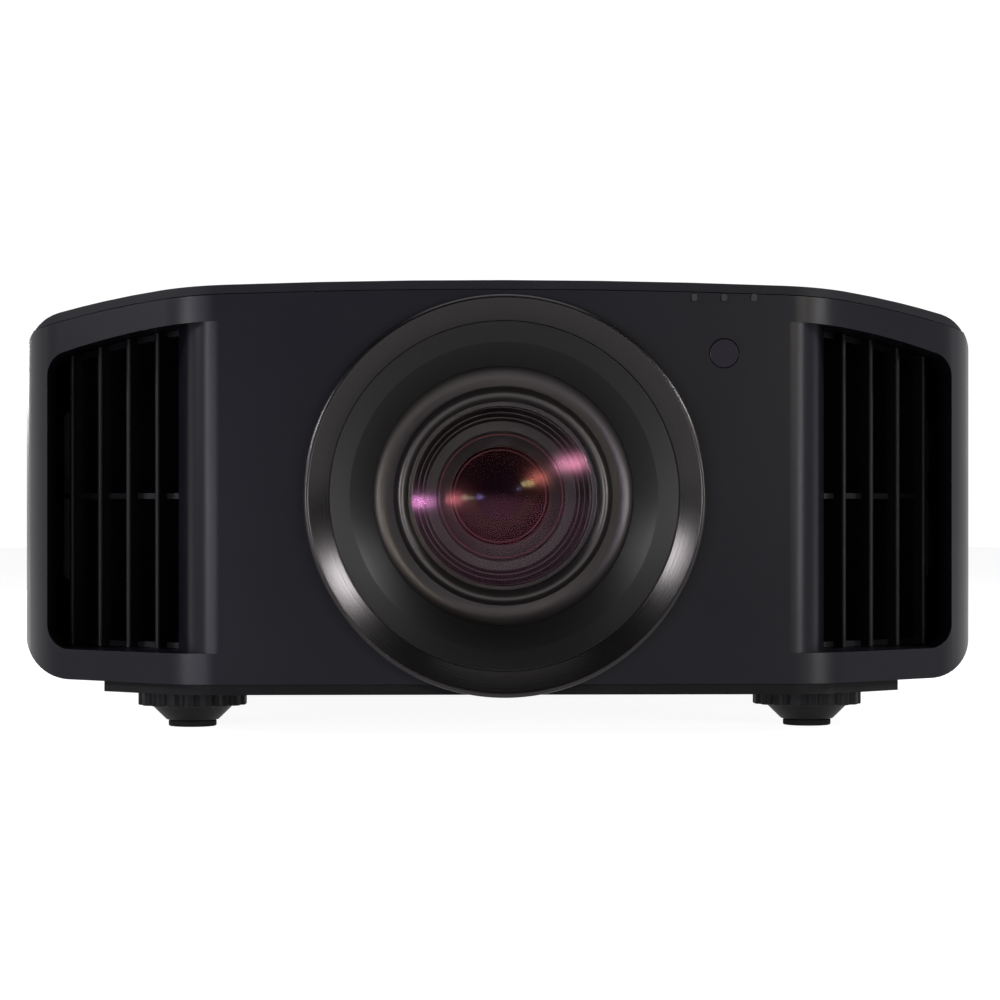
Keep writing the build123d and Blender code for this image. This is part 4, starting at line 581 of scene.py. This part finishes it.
@dataclass
class Palette:
    """Every finish of the projector, as materials by name."""

    effects: SurfaceEffects
    materials: dict[str, bpy.types.Material] = field(default_factory=dict)

    def mix(self) -> None:
        """Build all the materials."""
        finishes = (
            Finish("casing_black", (0.0042, 0.0040, 0.0068), 0.34, specular=0.13, dust=0.03,
                   grain_depth=0.06, mottle=0.05),
            Finish("roof_black", (0.0050, 0.0048, 0.0075), 0.50, specular=0.10, wear=0.10, dust=0.04,
                   grain_depth=0.10, mottle=0.05),
            Finish("plate_black", (0.006, 0.006, 0.0085), 0.30, specular=0.2, dust=0.04, grain_depth=0.05),
            Finish("tray_black", (0.003, 0.003, 0.0036), 0.6, specular=0.08, wear=0.10, grain_depth=0.2),
            Finish("vent_black", (0.0040, 0.0040, 0.0050), 0.46, specular=0.12, wear=0.05, grain_depth=0.1),
            Finish("bezel_dark", (0.027, 0.025, 0.026), 0.27, metallic=0.95, spun=5200.0, grain_depth=0.05,
                   mottle=0.05),
            Finish("baffle_black", (0.0044, 0.0040, 0.0043), 0.46, specular=0.2, spun=2600.0,
                   grain_depth=0.08),
            Finish("barrel_black", (0.040, 0.036, 0.036), 0.36, metallic=0.8, spun=4200.0, grain_depth=0.06),
            # Dark rose colour of the thin lens rings is a painted reflection: it stands in for the pink glow
            # of the lens coating.
            Finish("rim_rose_painted_reflection", (0.085, 0.022, 0.024), 0.35, metallic=0.5, grain_depth=0.03),
            Finish("rim_dark", (0.060, 0.050, 0.046), 0.35, metallic=0.7, grain_depth=0.03),
            Finish("window_purple", (0.0078, 0.0068, 0.0125), 0.26, grain_depth=0.01, specular=0.18),
            Finish("pipe_clear", (0.028, 0.029, 0.032), 0.12, grain_depth=0.02, coat=0.8),
            Finish("rear_black", (0.0080, 0.0078, 0.0098), 0.44, specular=0.15, dust=0.03, grain_depth=0.16),
            Finish("button_black", (0.020, 0.020, 0.022), 0.5, wear=0.4, grain_depth=0.06),
            Finish("mark_white", (0.55, 0.55, 0.55), 0.5, grain_depth=0.03),
            Finish("filter_foam", (0.035, 0.035, 0.038), 0.9, grain_scale=380.0, grain_depth=0.9, mottle=0.4),
            Finish("knob_black", (0.003, 0.003, 0.0036), 0.50, specular=0.10, wear=0.15, grain_depth=0.08),
            Finish("pad_rubber", (0.005, 0.005, 0.005), 0.75, specular=0.1, grain_scale=500.0,
                   grain_depth=0.3, dust=0.1),
            Finish("insert_brass", (0.62, 0.44, 0.18), 0.3, metallic=1.0, grain_depth=0.08),
            Finish("screw_steel", (0.09, 0.09, 0.095), 0.32, metallic=0.9, wear=0.8,
                   wear_colour=(0.4, 0.4, 0.4)),
            Finish("inlet_black", (0.006, 0.006, 0.007), 0.40, specular=0.15, grain_depth=0.08, wear=0.15),
            Finish("socket_steel", (0.45, 0.45, 0.46), 0.3, metallic=1.0, grain_depth=0.1),
            Finish("stage_aluminium", (0.42, 0.42, 0.44), 0.38, metallic=1.0, grain_depth=0.15),
            Finish("engine_cast", (0.22, 0.22, 0.23), 0.55, metallic=0.8, grain_scale=300.0, grain_depth=0.4),
            Finish("sink_aluminium", (0.5, 0.5, 0.52), 0.4, metallic=1.0, grain_depth=0.12),
            Finish("motor_steel", (0.4, 0.4, 0.42), 0.3, metallic=1.0, grain_depth=0.1),
            Finish("gear_white", (0.6, 0.58, 0.52), 0.45, grain_depth=0.06),
            Finish("fan_black", (0.009, 0.009, 0.010), 0.5, dust=0.3, grain_depth=0.08),
            Finish("board_green", (0.012, 0.06, 0.025), 0.4, mottle=0.3, grain_scale=250.0, coat=0.3),
        )
        glasses = (
            CoatedGlass("front_glass", (0.003, 0.001, 0.003), (1.0, 0.38, 0.72), 0.05, roughness=0.09),
            CoatedGlass("inner_glass", (0.004, 0.001, 0.002), (1.0, 0.28, 0.28), 0.12, roughness=0.13),
            CoatedGlass("amber_glass", (0.001, 0.0014, 0.003), (1.0, 0.90, 0.50), 1.0, ior=1.21,
                        roughness=0.08),
            CoatedGlass("violet_glass", (0.001, 0.0014, 0.004), (0.55, 0.45, 1.0), 1.0, ior=1.21,
                        roughness=0.08),
        )
        for finish in (*finishes, *glasses):
            self.materials[finish.name] = finish.material(self.effects)

    def dress(self, made: bpy.types.Object, name: str) -> None:
        """Give an object one finish.

        Args:
            made: The object.
            name: Name of the finish.
        """
        made.data.materials.clear()
        made.data.materials.append(self.materials[name])

    @staticmethod
    def _slots() -> set[str]:
        """Names of the record's material slots."""
        return {item["slot"] for item in frame["record"]["materials"]}

    def dress_nodes(self) -> None:
        """Give every CAD node the finish of its slot."""
        for part in frame["record"]["subparts"]:
            node = frame["nodes"][part["node"]]
            material = self.materials[part["material_slot"]]
            if not node.data.materials:
                node.data.materials.append(material)
            for place in range(len(node.data.materials)):
                node.data.materials[place] = material


@dataclass
class Shells:
    """Casing shells, trims and small outer pieces with softened edges."""

    roundings: dict[str, float] = field(default_factory=lambda: {
        "front_panel": 0.8 * MM,
        "top_cover": 0.8 * MM,
        "top_plate": 0.8 * MM,
        "base_tray": 0.5 * MM,
        "rear_panel": 0.4 * MM,
        "socket_plate": 0.3 * MM,
        "mains_inlet": 0.4 * MM,
        "signal_sockets": 0.12 * MM,
        "filter_door": 0.5 * MM,
        "left_louvre": 0.35 * MM,
        "right_louvre": 0.35 * MM,
        "remote_window": 0.4 * MM,
        "indicator_lenses": 0.3 * MM,
        "lens_barrel": 0.3 * MM,
        "zoom_cell": 0.2 * MM,
    })
    families: dict[str, float] = field(default_factory=lambda: {
        "foot_knob_": 0.5 * MM,
        "foot_pad_": 0.6 * MM,
        "_button": 0.35 * MM,
    })
    own_finishes: dict[str, str] = field(default_factory=lambda: {"top_cover": "roof_black"})

    def _all(self) -> dict[str, float]:
        """Every node that is softened.

        Returns:
            Widths of rounding by node.
        """
        made = dict(self.roundings)
        for node in frame["nodes"]:
            for family, width in self.families.items():
                if family in node:
                    made[node] = width
        return made

    def build(self, palette: Palette) -> None:
        """Make and dress the softened pieces.

        Args:
            palette: The finishes.
        """
        finishes = {part["node"]: part["material_slot"] for part in frame["record"]["subparts"]}
        for node, width in self._all().items():
            made = MeshShop.softened(node, width)
            palette.dress(made, self.own_finishes.get(node, finishes[node]))
            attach(made, carrier(node))
            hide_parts(node)
            LOG.info("softened %s: %d faces", node, len(made.data.polygons))


@dataclass(frozen=True)
class Element:
    """A lens element with a domed front and a flat back, by its places along the axis."""

    tip: float
    edge: float
    ball: float
    back: float

    def profile(self) -> Profile:
        """Corners from the dome's tip outwards and along the back.

        Returns:
            The closed profile.
        """
        radii = [self.edge * i / DOME_STEPS for i in range(DOME_STEPS + 1)]
        dome = [(self.tip + self.ball - math.sqrt(self.ball ** 2 - radius ** 2), radius) for radius in radii]
        return dome + [(self.back, self.edge), (self.back, 0.0)]


@dataclass(frozen=True)
class Rim:
    """A thin ring in the lens."""

    along: float
    radius: float
    finish: str
    half: float = 0.35 * MM
    tall: float = 0.5 * MM

    def profile(self) -> Profile:
        """Corners of the ring.

        Returns:
            The closed profile.
        """
        front, back = self.along - self.tall, self.along + self.tall
        inner, outer = self.radius - self.half, self.radius + self.half
        return [(front, inner), (front, outer), (back, outer), (back, inner)]


@dataclass
class LensFront:
    """Turned pieces of the lens and its surround, finely divided for clean reflections."""

    centre: Vector = field(default_factory=lambda: Vector((0.0, 0.0, LENS_Z)))
    face: float = -0.2395
    bezel_face: float = -0.2475
    bezel_lip: tuple[float, float] = (0.0986, 0.0998)
    bezel_outer: float = 0.101
    bezel_chamfer: float = 1.2 * MM
    bezel_seat: float = 0.090
    bezel_sleeve: float = 5 * MM
    bezel_bore: float = 0.088
    bezel_cone: float = 9 * MM
    baffle_front: float = 3 * MM
    baffle_flange: tuple[float, float] = (0.0903, 0.0911)
    baffle_mouth: float = 0.0877
    baffle_fall: float = 11 * MM
    baffle_step: float = 0.078
    baffle_lip: float = 0.066
    baffle_wall: float = 2.5 * MM
    baffle_back: float = 0.0883
    lens_face: float = -0.214
    nose_tall: float = 3 * MM
    nose_steps: int = 10
    ring_seat: float = 0.0485
    ring_outer: float = 0.056
    ring_brim: float = 7 * MM
    ring_neck: float = 0.04995
    ring_long: float = 24 * MM
    ring_bore: float = 0.046
    ring_shelf: float = 10 * MM
    glass_set: float = 2 * MM
    glass_edge: float = 0.04845
    glass_drop: float = 5 * MM
    glass_hollow: float = 0.205
    first: Element = Element(-0.1750, 0.0339, 0.120, -0.1635)
    second: Element = Element(-0.1570, 0.0260, 0.084, -0.1495)
    third: Element = Element(-0.1592, 0.0127, 0.050, -0.1555)
    rims: dict[str, Rim] = field(default_factory=lambda: {
        # outer_rim and second_rim are real thin rings whose rose finish is a painted reflection of the
        # coating's pink glow.
        "outer_rim": Rim(-0.1709, 0.0322, "rim_rose_painted_reflection"),
        "second_rim": Rim(-0.1537, 0.0243, "rim_rose_painted_reflection"),
        "slope_rim_low": Rim(-0.1756, 0.0409, "rim_dark"),
        "slope_rim_high": Rim(-0.1790, 0.0435, "rim_dark"),
    })

    def build(self, palette: Palette) -> None:
        """Make and dress the turned pieces.

        Args:
            palette: The finishes.
        """
        self._keep(palette, "lens_bezel", self._bezel(), 0.5 * MM, "bezel_dark", Body.CASING)
        self._keep(palette, "lens_baffle", self._baffle(), 0.4 * MM, "baffle_black", Body.CASING)
        self._keep(palette, "lens_front_ring", self._ring(), 0.6 * MM, "barrel_black", Body.FRONT_GROUP)
        self._keep(palette, "front_element", self._glass(), 0.25 * MM, "front_glass", Body.FRONT_GROUP)
        self._keep(palette, "inner_elements", self.first.profile(), 0.2 * MM, "inner_glass", Body.ZOOM_GROUP)
        self._inside(palette, "second_element", self.second.profile(), "amber_glass")
        self._inside(palette, "third_element", self.third.profile(), "violet_glass")
        for name, rim in self.rims.items():
            self._inside(palette, name, rim.profile(), rim.finish)

    def _inside(self, palette: Palette, name: str, profile: Profile, finish: str) -> None:
        """Turn a piece that sits deep in the lens and dress it.

        Args:
            palette: The finishes.
            name: The piece's name.
            profile: Corners as (along the axis, radius).
            finish: Name of its finish.
        """
        outline = MeshShop.rounded(profile, INNER_ROUNDING)
        made = MeshShop.turned(name, outline, self.centre, segments=INNER_SEGMENTS, angle=LENS_SHARP)
        palette.dress(made, finish)
        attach(made, Body.ZOOM_GROUP.value)
        LOG.info("turned %s: %d faces", name, len(made.data.polygons))

    def _keep(self, palette: Palette, node: str, profile: Profile, rounding: float, finish: str,
              body: Body) -> None:
        """Turn a profile, dress it and let it stand for its node.

        Args:
            palette: The finishes.
            node: The node that the piece stands for.
            profile: Corners as (along the axis, radius).
            rounding: Largest rounding of the corners.
            finish: Name of its finish.
            body: The body that carries it.
        """
        outline = MeshShop.rounded(profile, rounding)
        made = MeshShop.turned(f"{node}_turned", outline, self.centre, angle=LENS_SHARP)
        palette.dress(made, finish)
        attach(made, body.value)
        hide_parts(node)
        LOG.info("turned %s: %d faces", node, len(made.data.polygons))

    def _bezel(self) -> Profile:
        """Profile of the bezel: rim, outer wall, sleeve and cone.

        Returns:
            The closed profile.
        """
        front, seat = self.bezel_face, self.face + self.bezel_sleeve
        inner, outer = self.bezel_lip
        return [(front, outer), (front + self.bezel_chamfer, self.bezel_outer), (self.face, self.bezel_outer),
                (self.face, self.bezel_seat), (seat, self.bezel_seat), (seat, self.bezel_bore),
                (front + self.bezel_cone, self.bezel_bore), (front, inner)]

    def _baffle(self) -> Profile:
        """Profile of the stepped baffle.

        Returns:
            The closed profile.
        """
        top, seat = self.face + self.baffle_front, self.face + self.bezel_sleeve
        step = self.face + self.baffle_fall
        lip, back = step + self.baffle_fall, seat + self.baffle_wall
        inner, outer = self.baffle_flange
        return [(top, outer), (top, inner), (seat, inner), (seat, self.baffle_mouth),
                (step, self.baffle_step), (lip, self.baffle_lip), (lip + self.baffle_wall, self.baffle_lip),
                (step + self.baffle_wall, self.baffle_step + self.baffle_wall), (back, self.baffle_back),
                (back, outer)]

    def _ring(self) -> Profile:
        """Profile of the lens's front ring, with its round nose.

        Returns:
            The closed profile.
        """
        front, wide = self.lens_face, self.ring_outer - self.ring_seat
        nose = []
        for i in range(self.nose_steps + 1):
            share = i / self.nose_steps
            along = front + self.nose_tall * (1 - math.sin(math.pi * share))
            nose.append((along, self.ring_seat + wide * share))
        brim, end, shelf = front + self.ring_brim, front + self.ring_long, front + self.ring_shelf
        return nose + [(brim, self.ring_outer), (brim, self.ring_neck), (end, self.ring_neck),
                       (end, self.ring_bore), (shelf, self.ring_bore), (shelf, self.ring_seat)]

    def _glass(self) -> Profile:
        """Profile of the front element, domed in front and hollow behind.

        Returns:
            The closed profile.
        """
        edge, drop, ball = self.glass_edge, self.glass_drop, self.glass_hollow
        back = self.lens_face + self.ring_shelf
        front = Element(self.lens_face + self.glass_set, edge, (edge ** 2 + drop ** 2) / (2 * drop), back)
        rim = math.sqrt(ball ** 2 - edge ** 2)
        radii = [edge * i / DOME_STEPS for i in range(DOME_STEPS, -1, -1)]
        hollow = [(back + rim - math.sqrt(ball ** 2 - radius ** 2), radius) for radius in radii]
        return front.profile()[:-2] + hollow


class GrowthTree:
    """Geometry tree with named inputs that sets a shape on points and ends in real, painted copies."""

    def __init__(self, name: str, inputs: dict[str, str]) -> None:
        """Open the tree with its sockets.

        Args:
            name: The tree's name.
            inputs: Socket types by input name.
        """
        self.tree = bpy.data.node_groups.new(name, "GeometryNodeTree")
        for label, kind in inputs.items():
            self.tree.interface.new_socket(label, in_out="INPUT", socket_type=f"NodeSocket{kind}")
        self.tree.interface.new_socket("Geometry", in_out="OUTPUT", socket_type="NodeSocketGeometry")
        self.bench = NodeBench(self.tree)
        self.given = self.bench.add("NodeGroupInput").outputs

    def plant(self, points: bpy.types.NodeSocket, shape: bpy.types.NodeSocket) -> bpy.types.NodeTree:
        """Set the shape on the points, make the copies real and paint them.

        Args:
            points: Where the copies go.
            shape: What is copied.

        Returns:
            The finished tree.
        """
        bench = self.bench
        stand = bench.add("GeometryNodeInstanceOnPoints")
        bench.link(points, stand.inputs["Points"])
        bench.link(shape, stand.inputs["Instance"])
        real = bench.add("GeometryNodeRealizeInstances")
        bench.link(stand.outputs["Instances"], real.inputs["Geometry"])
        paint = bench.add("GeometryNodeSetMaterial")
        bench.link(real.outputs["Geometry"], paint.inputs["Geometry"])
        bench.link(self.given["Material"], paint.inputs["Material"])
        bench.link(paint.outputs["Geometry"], bench.add("NodeGroupOutput").inputs["Geometry"])
        return self.tree


@dataclass
class CaseScrews:
    """Screw heads under the tray; a geometry tree sets one with a hex recess on each place."""

    front_x: float = 0.120
    front_y: float = -0.2195
    side_x: float = 0.196
    side_y: tuple[float, float, float] = (-0.0355, 0.0898, 0.2150)
    low: float = 0.0200
    head_r: float = 2.9 * MM
    head_tall: float = 1.9 * MM
    head_sides: int = 40
    recess_r: float = 1.45 * MM
    recess_deep: float = 1.2 * MM
    recess_sides: int = 6

    def _tree(self) -> bpy.types.NodeTree:
        """Geometry tree that sets a head with a hex recess on each point.

        Returns:
            The tree.
        """
        growth = GrowthTree("screw_heads", {
            "Geometry": "Geometry", "Head Radius": "Float", "Head Height": "Float", "Recess Radius": "Float",
            "Recess Depth": "Float", "Material": "Material"})
        bench, given = growth.bench, growth.given
        head = bench.add("GeometryNodeMeshCylinder", {"Vertices": self.head_sides})
        bench.link(given["Head Radius"], head.inputs["Radius"])
        bench.link(given["Head Height"], head.inputs["Depth"])
        raised = bench.add("GeometryNodeTransform")
        lift = bench.add("ShaderNodeCombineXYZ")
        bench.link(bench.math("MULTIPLY", given["Head Height"], 0.5), lift.inputs["Z"])
        bench.link(head.outputs["Mesh"], raised.inputs["Geometry"])
        bench.link(lift.outputs["Vector"], raised.inputs["Translation"])
        hexagon = bench.add("GeometryNodeMeshCylinder", {"Vertices": self.recess_sides})
        bench.link(given["Recess Radius"], hexagon.inputs["Radius"])
        bench.link(bench.math("MULTIPLY", given["Recess Depth"], 2.0), hexagon.inputs["Depth"])
        cut = bench.add("GeometryNodeMeshBoolean", operation="DIFFERENCE")
        bench.link(raised.outputs["Geometry"], cut.inputs["Mesh 1"])
        bench.link(hexagon.outputs["Mesh"], cut.inputs["Mesh 2"])
        return growth.plant(given["Geometry"], cut.outputs["Mesh"])

    def build(self, palette: Palette) -> None:
        """Make and dress the screw heads.

        Args:
            palette: The finishes.
        """
        spots = [(side * self.front_x, self.front_y, self.low) for side in (-1, 1)]
        spots += [(side * self.side_x, y, self.low) for side in (-1, 1) for y in self.side_y]
        base = bpy.data.meshes.new("screw_places")
        base.from_pydata(spots, [], [])
        heads = MeshShop.grown("case_screw_heads", self._tree(), {
            "Head Radius": self.head_r, "Head Height": self.head_tall, "Recess Radius": self.recess_r,
            "Recess Depth": self.recess_deep, "Material": palette.materials["screw_steel"]}, base)
        MeshShop.smooth(heads.data, 40.0)
        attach(heads, Body.CASING.value)
        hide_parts("case_screws")
        LOG.info("screw heads: %d places", len(spots))


@dataclass
class RearDetails:
    """Raised marks on the push buttons, and the tongues and contacts inside the sockets."""

    mark_tall: float = 0.12 * MM
    arrow: float = 1.5 * MM
    arrow_turns: tuple[float, float, float] = (0.0, 125.0, 235.0)
    arrows: dict[str, float] = field(default_factory=lambda: {
        "up_button": 90.0, "down_button": 270.0, "left_button": 0.0, "right_button": 180.0})
    power_ring: float = 2.6 * MM
    power_start: float = 125.0
    power_sweep: float = 290.0
    power_steps: int = 26
    stroke: float = 0.55 * MM
    stroke_ends: tuple[float, float] = (0.4 * MM, 3.1 * MM)
    socket_z: float = 0.078
    socket_deep: float = 5 * MM
    tongue_x: tuple[float, float] = (-0.070, -0.045)
    tongue_half: tuple[float, float, float] = (5.2 * MM, 3.5 * MM, 0.5 * MM)
    network_x: float = -0.015
    contact_count: int = 8
    contact_pitch: float = 1.05 * MM
    contact_rise: float = 3.6 * MM
    contact: tuple[float, float, float] = (0.45 * MM, 6 * MM, 0.5 * MM)

    def _plate(self, name: str, outlines: Sequence[Profile], back: float, tall: float) -> bpy.types.Object:
        """Raise flat outlines off a face that looks along +Y.

        Args:
            name: The object's name.
            outlines: Corners as (x, z), each outline convex.
            back: Place of the face along Y.
            tall: Height of the marks.

        Returns:
            The raised plates as one object.
        """
        mesh = bpy.data.meshes.new(name)
        shape = bmesh.new()
        for outline in outlines:
            low = [shape.verts.new((x, back - tall, z)) for x, z in outline]
            high = [shape.verts.new((x, back + tall, z)) for x, z in outline]
            shape.faces.new(low)
            shape.faces.new(high)
            for i in range(len(outline)):
                j = (i + 1) % len(outline)
                shape.faces.new((low[i], low[j], high[j], high[i]))
        bmesh.ops.recalc_face_normals(shape, faces=shape.faces)
        shape.to_mesh(mesh)
        shape.free()
        return MeshShop.piece(name, mesh)

    @staticmethod
    def _oblong(x: float, half: float, low: float, high: float) -> Profile:
        """Corners of an upright oblong about x."""
        return [(x - half, low), (x + half, low), (x + half, high), (x - half, high)]

    def _arrow(self, x: float, z: float, turn: float) -> Profile:
        """Corners of an arrow head.

        Args:
            x: Its middle across.
            z: Its middle upwards.
            turn: Where it points, in degrees.

        Returns:
            The three corners.
        """
        angles = [math.radians(turn + step) for step in self.arrow_turns]
        return [(x + self.arrow * math.cos(angle), z + self.arrow * math.sin(angle)) for angle in angles]

    def _power(self, x: float, z: float) -> list[Profile]:
        """Outlines of an open ring with an upright stroke.

        Args:
            x: Its middle across.
            z: Its middle upwards.

        Returns:
            The ring's short plates and the stroke.
        """
        inner, outer = self.power_ring - self.stroke, self.power_ring
        made = []
        for i in range(self.power_steps):
            first, second = (math.radians(self.power_start + self.power_sweep * j / self.power_steps)
                             for j in (i, i + 1))
            made.append([(x + reach * math.cos(turn), z + reach * math.sin(turn)) for reach, turn in
                         ((inner, first), (outer, first), (outer, second), (inner, second))])
        low, high = self.stroke_ends
        made.append(self._oblong(x, self.stroke / 2, z + low, z + high))
        return made

    @staticmethod
    def _contacts() -> bpy.types.NodeTree:
        """Geometry tree that lays a row of contact strips.

        Returns:
            The tree.
        """
        growth = GrowthTree("contact_row", {
            "Count": "Int", "Start": "Vector", "Step": "Vector", "Strip": "Vector", "Material": "Material"})
        bench, given = growth.bench, growth.given
        row = bench.add("GeometryNodeMeshLine")
        bench.link(given["Count"], row.inputs["Count"])
        bench.link(given["Start"], row.inputs["Start Location"])
        bench.link(given["Step"], row.inputs["Offset"])
        strip = bench.add("GeometryNodeMeshCube")
        bench.link(given["Strip"], strip.inputs["Size"])
        return growth.plant(row.outputs["Mesh"], strip.outputs["Mesh"])

    def build(self, palette: Palette) -> None:
        """Make and dress the marks, tongues and contacts.

        Args:
            palette: The finishes.
        """
        for button in (*self.arrows, "power_button"):
            low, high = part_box(button)
            x, z = (low[0] + high[0]) / 2, (low[2] + high[2]) / 2
            turn = self.arrows.get(button)
            outlines = self._power(x, z) if turn is None else [self._arrow(x, z, turn)]
            mark = self._plate(f"{button}_mark", outlines, high[1], self.mark_tall)
            mark.data.materials.append(palette.materials["mark_white"])
            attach(mark, button)
            LOG.info("mark on %s", button)
        self._sockets(palette)

    def _sockets(self, palette: Palette) -> None:
        """Put tongues in the two video sockets and contact strips in the network socket.

        Args:
            palette: The finishes.
        """
        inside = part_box("signal_sockets")[1][1] - self.socket_deep
        wide, deep, tall = self.tongue_half
        outlines = [self._oblong(x, wide, self.socket_z - tall, self.socket_z + tall) for x in self.tongue_x]
        tongues = self._plate("socket_tongues", outlines, inside, deep)
        tongues.data.materials.append(palette.materials["inlet_black"])
        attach(tongues, Body.CASING.value)
        start = self.network_x - self.contact_pitch * (self.contact_count - 1) / 2
        strips = MeshShop.grown("network_contacts", self._contacts(), {
            "Count": self.contact_count, "Step": (self.contact_pitch, 0.0, 0.0), "Strip": self.contact,
            "Start": (start, inside, self.socket_z + self.contact_rise),
            "Material": palette.materials["insert_brass"]})
        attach(strips, Body.CASING.value)
        LOG.info("socket tongues and %d contacts", self.contact_count)


@dataclass(frozen=True)
class Lamp:
    """One soft box: where it hangs, its size, its power and its tint."""

    name: str
    spot: tuple[float, float, float]
    size: tuple[float, float]
    energy: float
    tint: Colour = (1.0, 1.0, 1.0)

    def hang(self, aim: Vector) -> None:
        """Put the lamp into the scene.

        Args:
            aim: The point that it shines at.
        """
        light = bpy.data.lights.new(self.name, "AREA")
        light.shape = "RECTANGLE"
        light.size, light.size_y = self.size
        light.energy = self.energy
        light.color = self.tint
        made = bpy.data.objects.new(self.name, light)
        made.location = self.spot
        made.rotation_mode = "QUATERNION"
        made.rotation_quaternion = (aim - Vector(self.spot)).to_track_quat("-Z", "Y")
        bpy.context.scene.collection.objects.link(made)


@dataclass
class Studio:
    """White sweep, soft lamps and the camera at the photograph's place."""

    eye: Vector = field(default_factory=lambda: Vector((-0.05, -1.9395, 0.120)))
    turn: float = -1.68
    focal_length: float = 122.0
    sensor: float = 36.0
    shift: tuple[float, float] = (-0.0045, -0.004)
    clip: tuple[float, float] = (0.05, 60.0)
    stage_reach: float = 25.0
    backdrop_y: float = 6.0
    backdrop_z: tuple[float, float] = (-1.0, 9.0)
    floor_light: tuple[float, float] = (0.93, 0.36)
    backdrop_light: tuple[float, float] = (1.0, 0.2)
    room: Colour = (0.06, 0.06, 0.063)
    aim: Vector = field(default_factory=lambda: Vector((0.0, -0.1, 0.12)))
    lamps: tuple[Lamp, ...] = (
        Lamp("front_left", (-1.6, -2.0, 0.22), (0.55, 0.4), 22.0, (0.97, 0.97, 1.0)),
        Lamp("front_right", (1.75, -2.0, 0.24), (0.55, 0.4), 24.0, (1.0, 0.98, 0.96)),
        Lamp("near_left", (-0.80, -2.0, 0.06), (0.30, 0.09), 7.5, (0.88, 0.82, 1.0)),
        Lamp("near_right", (0.74, -2.0, 0.44), (0.30, 0.10), 7.5, (1.0, 0.94, 0.78)),
        Lamp("side_left", (-2.0, -0.60, 0.86), (0.35, 0.5), 27.0),
        Lamp("side_right", (2.0, -0.60, 1.12), (0.35, 0.5), 34.0),
        Lamp("soft_top", (0.0, 0.1, 1.8), (1.6, 1.2), 12.0),
        Lamp("soft_rear", (-0.9, 2.2, 0.55), (0.9, 0.6), 20.0),
    )

    @staticmethod
    def _white(name: str, glow: float, albedo: float) -> bpy.types.Material:
        """White surface that glows for the camera and for mirror-like rays, and takes shadows.

        Args:
            name: The material's name.
            glow: Strength of the glow.
            albedo: Brightness of the diffuse part.

        Returns:
            The material.
        """
        made = bpy.data.materials.new(name)
        made.use_nodes = True
        bench = NodeBench(made.node_tree)
        bench.tree.nodes.clear()
        rays = bench.add("ShaderNodeLightPath").outputs
        mirrored = bench.math("MAXIMUM", rays["Is Glossy Ray"], rays["Is Transmission Ray"])
        seen = bench.math("MAXIMUM", rays["Is Camera Ray"], mirrored)
        light = bench.add("ShaderNodeEmission")
        bench.link(bench.math("MULTIPLY", seen, glow), light.inputs["Strength"])
        matt = bench.add("ShaderNodeBsdfDiffuse", {"Color": (albedo, albedo, albedo, 1.0)})
        both = bench.add("ShaderNodeAddShader")
        bench.link(light.outputs[0], both.inputs[0])
        bench.link(matt.outputs[0], both.inputs[1])
        bench.link(both.outputs[0], bench.add("ShaderNodeOutputMaterial").inputs["Surface"])
        return made

    @staticmethod
    def _plane(name: str, corners: Sequence[tuple[float, float, float]],
               material: bpy.types.Material) -> None:
        """Lay out one flat stage surface.

        Args:
            name: The object's name.
            corners: Its four corners in order.
            material: Its material.
        """
        mesh = bpy.data.meshes.new(name)
        mesh.from_pydata(corners, [], [(0, 1, 2, 3)])
        mesh.materials.append(material)
        MeshShop.piece(name, mesh)

    def _camera(self) -> None:
        """Set the camera at the photograph's place."""
        view = bpy.data.cameras.new("camera")
        view.lens = self.focal_length
        view.sensor_width = self.sensor
        view.shift_x, view.shift_y = self.shift
        view.clip_start, view.clip_end = self.clip
        made = bpy.data.objects.new("camera", view)
        made.location = self.eye
        made.rotation_euler = (math.radians(90.0), 0.0, math.radians(self.turn))
        bpy.context.scene.collection.objects.link(made)
        bpy.context.scene.camera = made

    def build(self) -> None:
        """Set the floor, backdrop, lamps, world and camera."""
        scene = bpy.context.scene
        scene.view_settings.view_transform = "Standard"
        floor = self._white("floor_white", *self.floor_light)
        wall = self._white("backdrop_white", *self.backdrop_light)
        wide, far = self.stage_reach, self.backdrop_y
        low, high = self.backdrop_z
        self._plane("floor", [(-wide, -wide, 0), (wide, -wide, 0), (wide, far, 0), (-wide, far, 0)], floor)
        self._plane("backdrop", [(-wide, far, low), (wide, far, low), (wide, far, high),
                                 (-wide, far, high)], wall)
        world = bpy.data.worlds.new("studio")
        world.use_nodes = True
        world.node_tree.nodes["Background"].inputs["Color"].default_value = (*self.room, 1.0)
        scene.world = world
        for lamp in self.lamps:
            lamp.hang(self.aim)
        self._camera()


def main() -> None:
    """Build the looks in order."""
    logging.basicConfig(level=logging.INFO, format="%(name)s: %(message)s")
    Studio().build()
    palette = Palette(SurfaceEffects())
    palette.mix()
    palette.dress_nodes()
    builders: tuple[Callable[[Palette], None], ...] = (
        Shells().build, LensFront().build, CaseScrews().build, RearDetails().build)
    for build in builders:
        build(palette)


if __name__ == "__main__":
    main()
